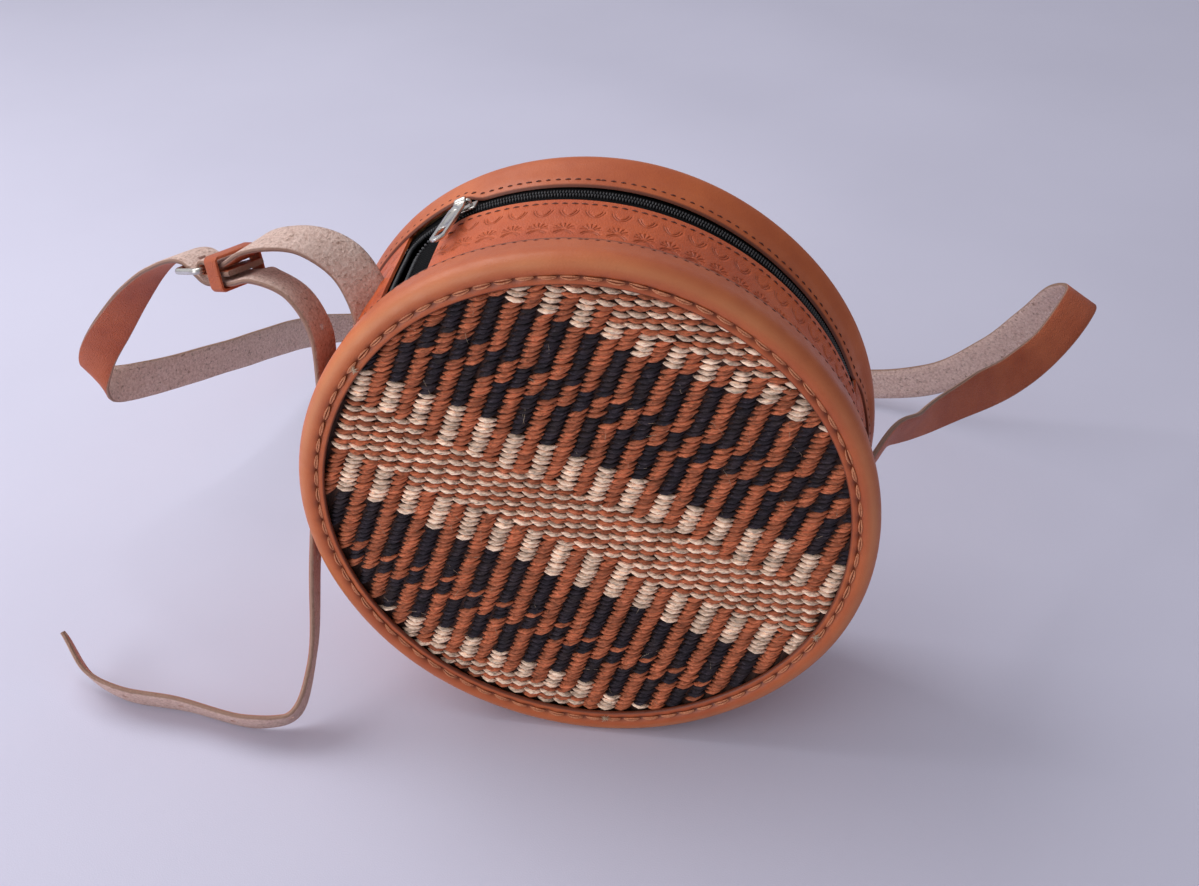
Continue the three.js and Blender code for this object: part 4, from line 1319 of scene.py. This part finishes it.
pale_fibre = thread_finish("pale_fibre", (0.75, 0.62, 0.46, 1), (0.5, 0.33, 0.2, 1))
hair_roots = front_places[rng.integers(0, len(front_places), 110)]
loose_fibres("sisal_hairs", hair_roots, 4.2, 0.07, pale_fibre)
tuft_roots = np.repeat(bag_point(110.4, np.array([-54.5, 117.0, 175.0]), 0.9), 16, 0)
loose_fibres("thread_tufts", tuft_roots, 2.0, 0.13, pale_fibre)

# %% [markdown]
# ## Zip
# Each half of the zip is a black tape with a nylon coil along its edge. The tapes follow the edge of the
# leather, and at the open mouth they turn the corner and run on to the front rim. So each tape is a grid
# along a line that has a straight part, a quarter turn and a leg.

# %% Lines of the zip
ZIP_TOP, LEG_END = 71, 21.8
FRONT_EDGE, BACK_EDGE = 8.4, 3.9


def zip_line(share, offset, front):
    corner, start, turn_depth = (CORNER, -30, CORNER_DEPTH) if front else (10, -41.1, 60.5)
    lengths = np.array([(ZIP_TOP - start) / DEGREE, corner * math.pi / 2, turn_depth - LEG_END])
    run = share * lengths.sum()
    first = np.clip(run / lengths[0], 0, 1)
    turn = np.clip((run - lengths[0]) / lengths[1], 0, 1) * math.pi / 2
    leg = np.clip((run - lengths[0] - lengths[1]) / lengths[2], 0, 1)
    radius = corner + (offset if front else -offset)
    clock = ZIP_TOP + (start - ZIP_TOP) * first - radius * DEGREE * np.sin(turn)
    return clock, turn_depth + radius * np.cos(turn) + (LEG_END - turn_depth) * leg


def on_zip(share, offset, drop, front):
    clock, depth = zip_line(share, offset, front)
    return bag_point(band_radius(clock, depth) - drop, clock, depth)


print("front half ends at clock", round(float(zip_line(1.0, 0, True)[0]), 1))

# %% [markdown]
# The tape is a tightly woven black twill, dull and with a little lint. Its threads are too fine to model,
# so a diagonal wave gives the ribs as a bump, and a fine noise gives the lint.

# %% Tape finish and tapes
zip_cloth, tree, place = new_finish("zip_tape")
weave = {"Vector": place, "Scale": 420, "Distortion": 1.5, "Detail": 2}
twill = node(tree, "TexWave", weave, bands_direction="DIAGONAL").outputs["Fac"]
lint = ranged(tree, noise(tree, place, 900, 4), 0.4, 0.75)
complete(
    zip_cloth,
    mixed(tree, lint, (0.002, 0.002, 0.0025, 1), (0.008, 0.0078, 0.009, 1)),
    ranged(tree, twill, 0, 1, 1.0, 0.85),
    bump(tree, twill, 0.4, 0.0003),
    {"Specular IOR Level": 0.08},
)

for side, front, edge in (("front", True, FRONT_EDGE), ("back", False, BACK_EDGE)):
    tape, _, _ = grid_piece(
        side + "_tape_cloth", 260, 14,
        lambda u, v: on_zip(u, (v if front else 1 - v) * (edge + 7) - 8, 2.1, front),
    )
    thicken(tape, 0.8, 1)
    smooth_faces(tape, 60)
    dress(tape, "bag", "zip_tape", zip_cloth, side + "_zip_tape")

# %% [markdown]
# In the open mouth a row of tiny grey stitches shows on the back tape. They are the drawn-out balls of the
# rims once more, on frames that are measured along the tape itself.

# %% Stitches on the tape in the mouth
def on_back_tape(share, drop=1.2):
    return on_zip(share, -0.4, drop, False)


grey_thread = thread_finish("grey_thread", (0.3, 0.29, 0.3, 1), (0.16, 0.155, 0.16, 1))
share = np.arange(0.845, 0.985, 0.0062)
here = on_back_tape(share)
ahead = unit(on_back_tape(share + 0.002) - on_back_tape(share - 0.002))
away = unit(on_back_tape(share, 0.2) - here)
axes = np.stack([ahead, np.cross(away, ahead), away], 1)
seed = ball_seed(5, 4)
tape_stitches = lay_out(seed, "tape_stitches", stitch_shape(seed, 0.62, 0.16, 0.05), here, axes)
dress(tape_stitches, "bag", "zip_tape", grey_thread)

# %% [markdown]
# The coil is a nylon monofilament wound in a long row of turns. One turn is a small rounded capsule across
# the zip. The turns of the two sides are set half a step apart, with a narrow channel between them for the
# slider's web.

# %% Coil finish
coil_nylon, tree, place = new_finish("zip_coil")
rub = noise(tree, place, 500, 3)
complete(
    coil_nylon,
    mixed(tree, ranged(tree, rub, 0.35, 0.7), (0.012, 0.012, 0.015, 1), (0.045, 0.045, 0.052, 1)),
    ranged(tree, rub, 0.3, 0.7, 0.36, 0.52),
    bump(tree, noise(tree, place, 2500, 2), 0.15, 0.0002),
)

# %% Coils
TURN_STEP, COIL_INSET, COIL_DROP = 1.3, 0.75, 1.95
FRONT_LENGTH, BACK_LENGTH = 248.15, 283.1


def coil_turns(name, front, length, edge, phase, solid):
    share = (np.arange(3, length - 1, TURN_STEP) + phase) / length

    def at(share, aside=0.0):
        return on_zip(share, edge - COIL_INSET + aside, COIL_DROP, front)

    inward = unit(at(share, 0.5) - at(share, -0.5))
    ahead = at(share + 0.001) - at(share - 0.001)
    ahead = unit(ahead - (ahead * inward).sum(1, keepdims=True) * inward) * (1 if front else -1)
    seed = ball_seed(7, 6)
    x, y, z = points_of(seed).T
    full = (1 - x**4) ** 0.5 / np.maximum(np.hypot(y, z), 1e-6)
    shape = np.stack([1.05 * x, 0.45 * y * full, 0.95 * z * full - 0.15 * x**2], -1)
    axes = np.stack([inward, ahead, np.cross(inward, ahead)], 1)
    dress(lay_out(seed, name, shape, at(share), axes), "bag", "zip_coil", coil_nylon, solid)


coil_turns("front_coil", True, FRONT_LENGTH, FRONT_EDGE, 0.0, "front_zip_teeth")
coil_turns("back_coil", False, BACK_LENGTH, BACK_EDGE, TURN_STEP / 2, "back_zip_teeth")

# %% [markdown]
# ## Slider and pull
# The slider is two small plates joined at one end, with a bridge that carries the pull. Its places are
# given along the zip, towards the back and out of the leather.

# %% Axes at the slider
SLIDER_CLOCK, SLIDER_DEPTH = -29.0, 66.0
zip_axis = unit(np.array([0.01139, 1, 0]))
zip_middle = np.array([-4.174, 20.034, 116.8])
slider_at = bag_point(zip_radius(SLIDER_CLOCK), SLIDER_CLOCK, SLIDER_DEPTH)
slider_up = slider_at - zip_middle
slider_up = unit(slider_up - slider_up.dot(zip_axis) * zip_axis)
slider_axes = np.stack([np.cross(zip_axis, slider_up), zip_axis, slider_up])


def at_slider(points):
    return slider_at + np.asarray(points, float) @ slider_axes


print("slider at", slider_at.round(1), "mm")

# %% [markdown]
# Each plate is a cube that is tapered and bevelled, because a cast slider has soft edges. The bridge is a
# bent wire. It could be a bevelled curve, but a grid rolled round a path is a mesh from the start.

# %% Plates and wires
def plate(name, low, high, taper, rounding):
    select_none()
    bpy.ops.mesh.primitive_cube_add(size=2)
    piece = fresh(name)
    low, high = np.array(low, float), np.array(high, float)
    points = points_of(piece)
    points[:, 1] *= 1 - taper * (points[:, 0] + 1) / 2
    move_points(piece, (low + high) / 2 + points * (high - low) / 2)
    modify(piece, "BEVEL", width=rounding * MM, segments=3, limit_method="ANGLE")
    return piece


def tube(name, path, radius, sides=12):
    path = np.array(path, float)
    ahead = unit(np.gradient(path, axis=0))
    side = unit(np.cross(ahead, [0.02, 1.0, 0.03]))
    lift = np.cross(ahead, side)

    def shape(u, v):
        i = np.rint(u * (len(path) - 1)).astype(int)
        turn = 2 * math.pi * np.rint(v * sides) / sides
        return path[i] + radius * (np.cos(turn)[:, None] * side[i] + np.sin(turn)[:, None] * lift[i])

    piece, _, _ = grid_piece(name, len(path) - 1, sides, shape)
    weld(piece)
    return piece


# %% Slider
FOOT, BEND = 3.4, 0.8
bends = np.radians(np.linspace(0, 90, 7))
half = [(-FOOT, 0, 0), (-FOOT, 0, 1.2)]
half += [(BEND - FOOT - BEND * math.cos(a), 0, 2.4 + BEND * math.sin(a)) for a in bends]
bridge = half + [(-x, y, z) for x, y, z in half[::-1]]
slider = join_all([
    plate("top", (-5.5, -3.7, -0.6), (5.5, 3.7, 0.6), 0.18, 0.4),
    plate("bottom", (-5.5, -3.7, -5.0), (5.5, 3.7, -3.8), 0.18, 0.4),
    plate("web", (-4.5, -0.12, -4.2), (-1.5, 0.12, -0.3), 0.0, 0.04),
    tube("bridge", bridge, 0.75),
], "slider_body")
move_points(slider, at_slider(points_of(slider) / MM))
smooth_faces(slider, 50)
dress(slider, "slider", "nickel", nickel, "zip_slider")

# %% [markdown]
# The pull is a slim plate with a raised border, an open window near its end and a round eye on the bridge.
# A filled circle is moved on to its outline and extruded, and two Boolean cuts make the window and the
# sunk middle.

# %% Outlines and slabs
def half_round(half, count):
    turns = np.radians(np.linspace(0, 180, count))
    return [(half * math.cos(a), half * math.sin(a)) for a in turns]


def pull_outline(half, neck, start, end):
    right = [(neck, start), (neck, start - 0.6), (half, start - 6)]
    tip = [(x, end + half - y) for x, y in half_round(half, 28)]
    return right + tip + [(-x, y) for x, y in right[::-1]]


def round_bar(half, low, high):
    arc = half_round(half, 14)
    return [(x, high - half + y) for x, y in arc] + [(-x, low + half - y) for x, y in arc]


def slab(name, outline, low, high):
    select_none()
    bpy.ops.mesh.primitive_circle_add(vertices=len(outline), fill_type="NGON")
    piece = fresh(name)
    move_points(piece, [(x, y, low) for x, y in outline])
    bpy.ops.object.mode_set(mode="EDIT")
    bpy.ops.mesh.select_all(action="SELECT")
    bpy.ops.mesh.extrude_region_move(TRANSFORM_OT_translate={"value": (0, 0, (high - low) * MM)})
    bpy.ops.mesh.select_all(action="SELECT")
    bpy.ops.mesh.normals_make_consistent(inside=False)
    bpy.ops.object.mode_set(mode="OBJECT")
    return piece


# %% Pull
PULL_LEAN, BRIDGE_HEIGHT = math.radians(-2.2), 3.2
pull_plate = slab("pull_plate", pull_outline(3.5, 2.4, -1.475, -37), -0.7, 0.7)
cut_away(pull_plate, slab("window", round_bar(1.9, -33.5, -25.5), -3, 3))
cut_away(pull_plate, slab("sunk", round_bar(2.2, -24, -8.5), 0.4, 3))
modify(pull_plate, "BEVEL", width=0.22 * MM, segments=2, limit_method="ANGLE")
pull_eye = loop_piece(
    "pull_eye", round_outline(1.05), flat_strip * [0.85, 2.5], lambda u, v, w: np.stack([w, u, v], -1),
)
pull = join_all([pull_plate, pull_eye], "pull_body")
cosine, sine = math.cos(PULL_LEAN), math.sin(PULL_LEAN)
turned = points_of(pull) / MM @ np.array([[1, 0, 0], [0, cosine, sine], [0, -sine, cosine]])
move_points(pull, at_slider(turned + [0, 0, BRIDGE_HEIGHT]))
smooth_faces(pull, 40)
dress(pull, "pull", "nickel", nickel, "zip_pull")

# %% [markdown]
# ## Lining
# Inside, thin black cloth covers the discs and the long band. A cloth simulation could drape it, but it is
# stretched tight, so the same round and curved grids serve, with a few soft puckers.

# %% Lining finish
lining, tree, place = new_finish("lining_cloth")
warp, weft = (
    node(tree, "TexWave", {"Vector": place, "Scale": 500}, bands_direction=way).outputs["Fac"] for way in "XZ"
)
threads = maths(tree, "MULTIPLY", warp, weft)
complete(
    lining,
    mixed(tree, threads, (0.006, 0.006, 0.008, 1), (0.022, 0.021, 0.025, 1)),
    ranged(tree, noise(tree, place, 60, 3), 0.3, 0.7, 0.78, 0.92),
    bump(tree, threads, 0.4, 0.0003),
)

# %% Lining pieces
LINING_THICK = 0.6


def puckers(x, z):
    clock = np.arctan2(x, z)
    return 7.45 + 0.25 * np.sin(9 * clock) * (np.hypot(x, z) / 111) ** 4


def gusset_shape(u, v):
    clock, depth = 76 + 234 * u, UNDER_RIM + BAND_WIDTH * v
    pucker = 0.25 * np.sin(60 * u) ** 2
    return bag_point(band_radius(clock, depth) - 3.3 - pucker, clock, depth)


for side, back in SIDES:
    piece = round_sheet(side + "_lining_cloth", 48, 111.2, puckers, back, LINING_THICK)
    dress(piece, "bag", "lining_cloth", lining, side + "_lining")

gusset, _, _ = grid_piece("gusset_lining_cloth", 180, 20, gusset_shape)
thicken(gusset, LINING_THICK)
smooth_faces(gusset)
dress(gusset, "bag", "lining_cloth", lining, "gusset_lining")

# %% [markdown]
# ## Solids that stay
# The cane hoops lie hidden inside the rims, and the zip's end stop is a plain little block. Modelling them
# again would add nothing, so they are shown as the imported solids, with finishes of their own.

# %% Cane hoops and end stop
cane, tree, place = new_finish("rim_cane")
grain = noise(tree, stretched(tree, place, (300, 2000, 300)), 1, 5, 0.6)
complete(
    cane,
    mixed(tree, ranged(tree, grain, 0.3, 0.7), (0.3, 0.16, 0.06, 1), (0.52, 0.33, 0.15, 1)),
    ranged(tree, grain, 0.3, 0.7, 0.5, 0.7),
    bump(tree, grain, 0.4, 0.0003),
)
for name, finish in (("front_rim_core", cane), ("back_rim_core", cane), ("zip_end_stop", nickel)):
    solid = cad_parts[name]
    solid.data.materials.clear()
    solid.data.materials.append(finish)
    print(name, "stays, in", finish.name)

# %% [markdown]
# ## Floor, lights and background
# The bag stands on a pale cloth, flat under it and in soft folds further off. The folds are two crossing
# waves that sink below the flat part.

# %% Floor
select_none()
bpy.ops.mesh.primitive_grid_add(x_subdivisions=220, y_subdivisions=220, size=6, location=(0, 1.2, 0))
bpy.ops.object.transform_apply(location=True)
floor = fresh("floor")
points = points_of(floor)
x, y, _ = points.T
away = smoothstep(np.hypot((x + 0.02) / 0.33, (y - 0.1) / 0.27), 1.0, 1.7)
folds = np.sin(8 * x + 19 * y + 1.5 * np.sin(6 * x))
folds = folds + 0.6 * np.sin(23 * x - 9 * y + 2 * np.sin(5 * y) + 1)
points[:, 2] = -1.6 * MM * (1.6 + folds) * away
move_points(floor, points / MM)
smooth_faces(floor)
floor_cloth, tree, place = new_finish("floor_cloth")
uneven = ranged(tree, noise(tree, place, 3, 4), 0.3, 0.7)
complete(
    floor_cloth,
    mixed(tree, uneven, (0.63, 0.615, 0.76, 1), (0.67, 0.655, 0.8, 1)),
    0.95,
    bump(tree, noise(tree, place, 1500, 3), 0.2, 0.0004),
    {"Specular IOR Level": 0.1},
)
floor.data.materials.append(floor_cloth)

# %% [markdown]
# One large soft lamp above on the left gives the gentle shadow, and a second lights the front. The world
# fills the rest, less from the right than from the left.

# %% Lights and world
def lamp(name, place, target, size, power):
    bpy.ops.object.light_add(type="AREA", location=place)
    made = bpy.context.object
    made.name = name
    made.rotation_euler = (Vector(target) - Vector(place)).to_track_quat("-Z", "Y").to_euler()
    made.data.size = size
    made.data.energy = power
    print(name, "of", power, "W")


lamp("key_lamp", (-0.75, 0.2, 0.95), (-0.2, 0, 0), 0.8, 7)
lamp("front_lamp", (-0.95, -1.0, 0.42), (0, 0, 0.12), 1.0, 6.8)
world = bpy.context.scene.world or bpy.data.worlds.new("world")
bpy.context.scene.world = world
world.use_nodes = True
sky = world.node_tree
to_right = node(sky, "SeparateXYZ", {0: node(sky, "TexCoord").outputs["Generated"]}).outputs["X"]
background = sky.nodes["Background"].inputs
feed(sky, background["Color"], (0.95, 0.96, 1.0, 1))
feed(sky, background["Strength"], ranged(sky, to_right, -1.0, 1.0, 0.74, 0.27))
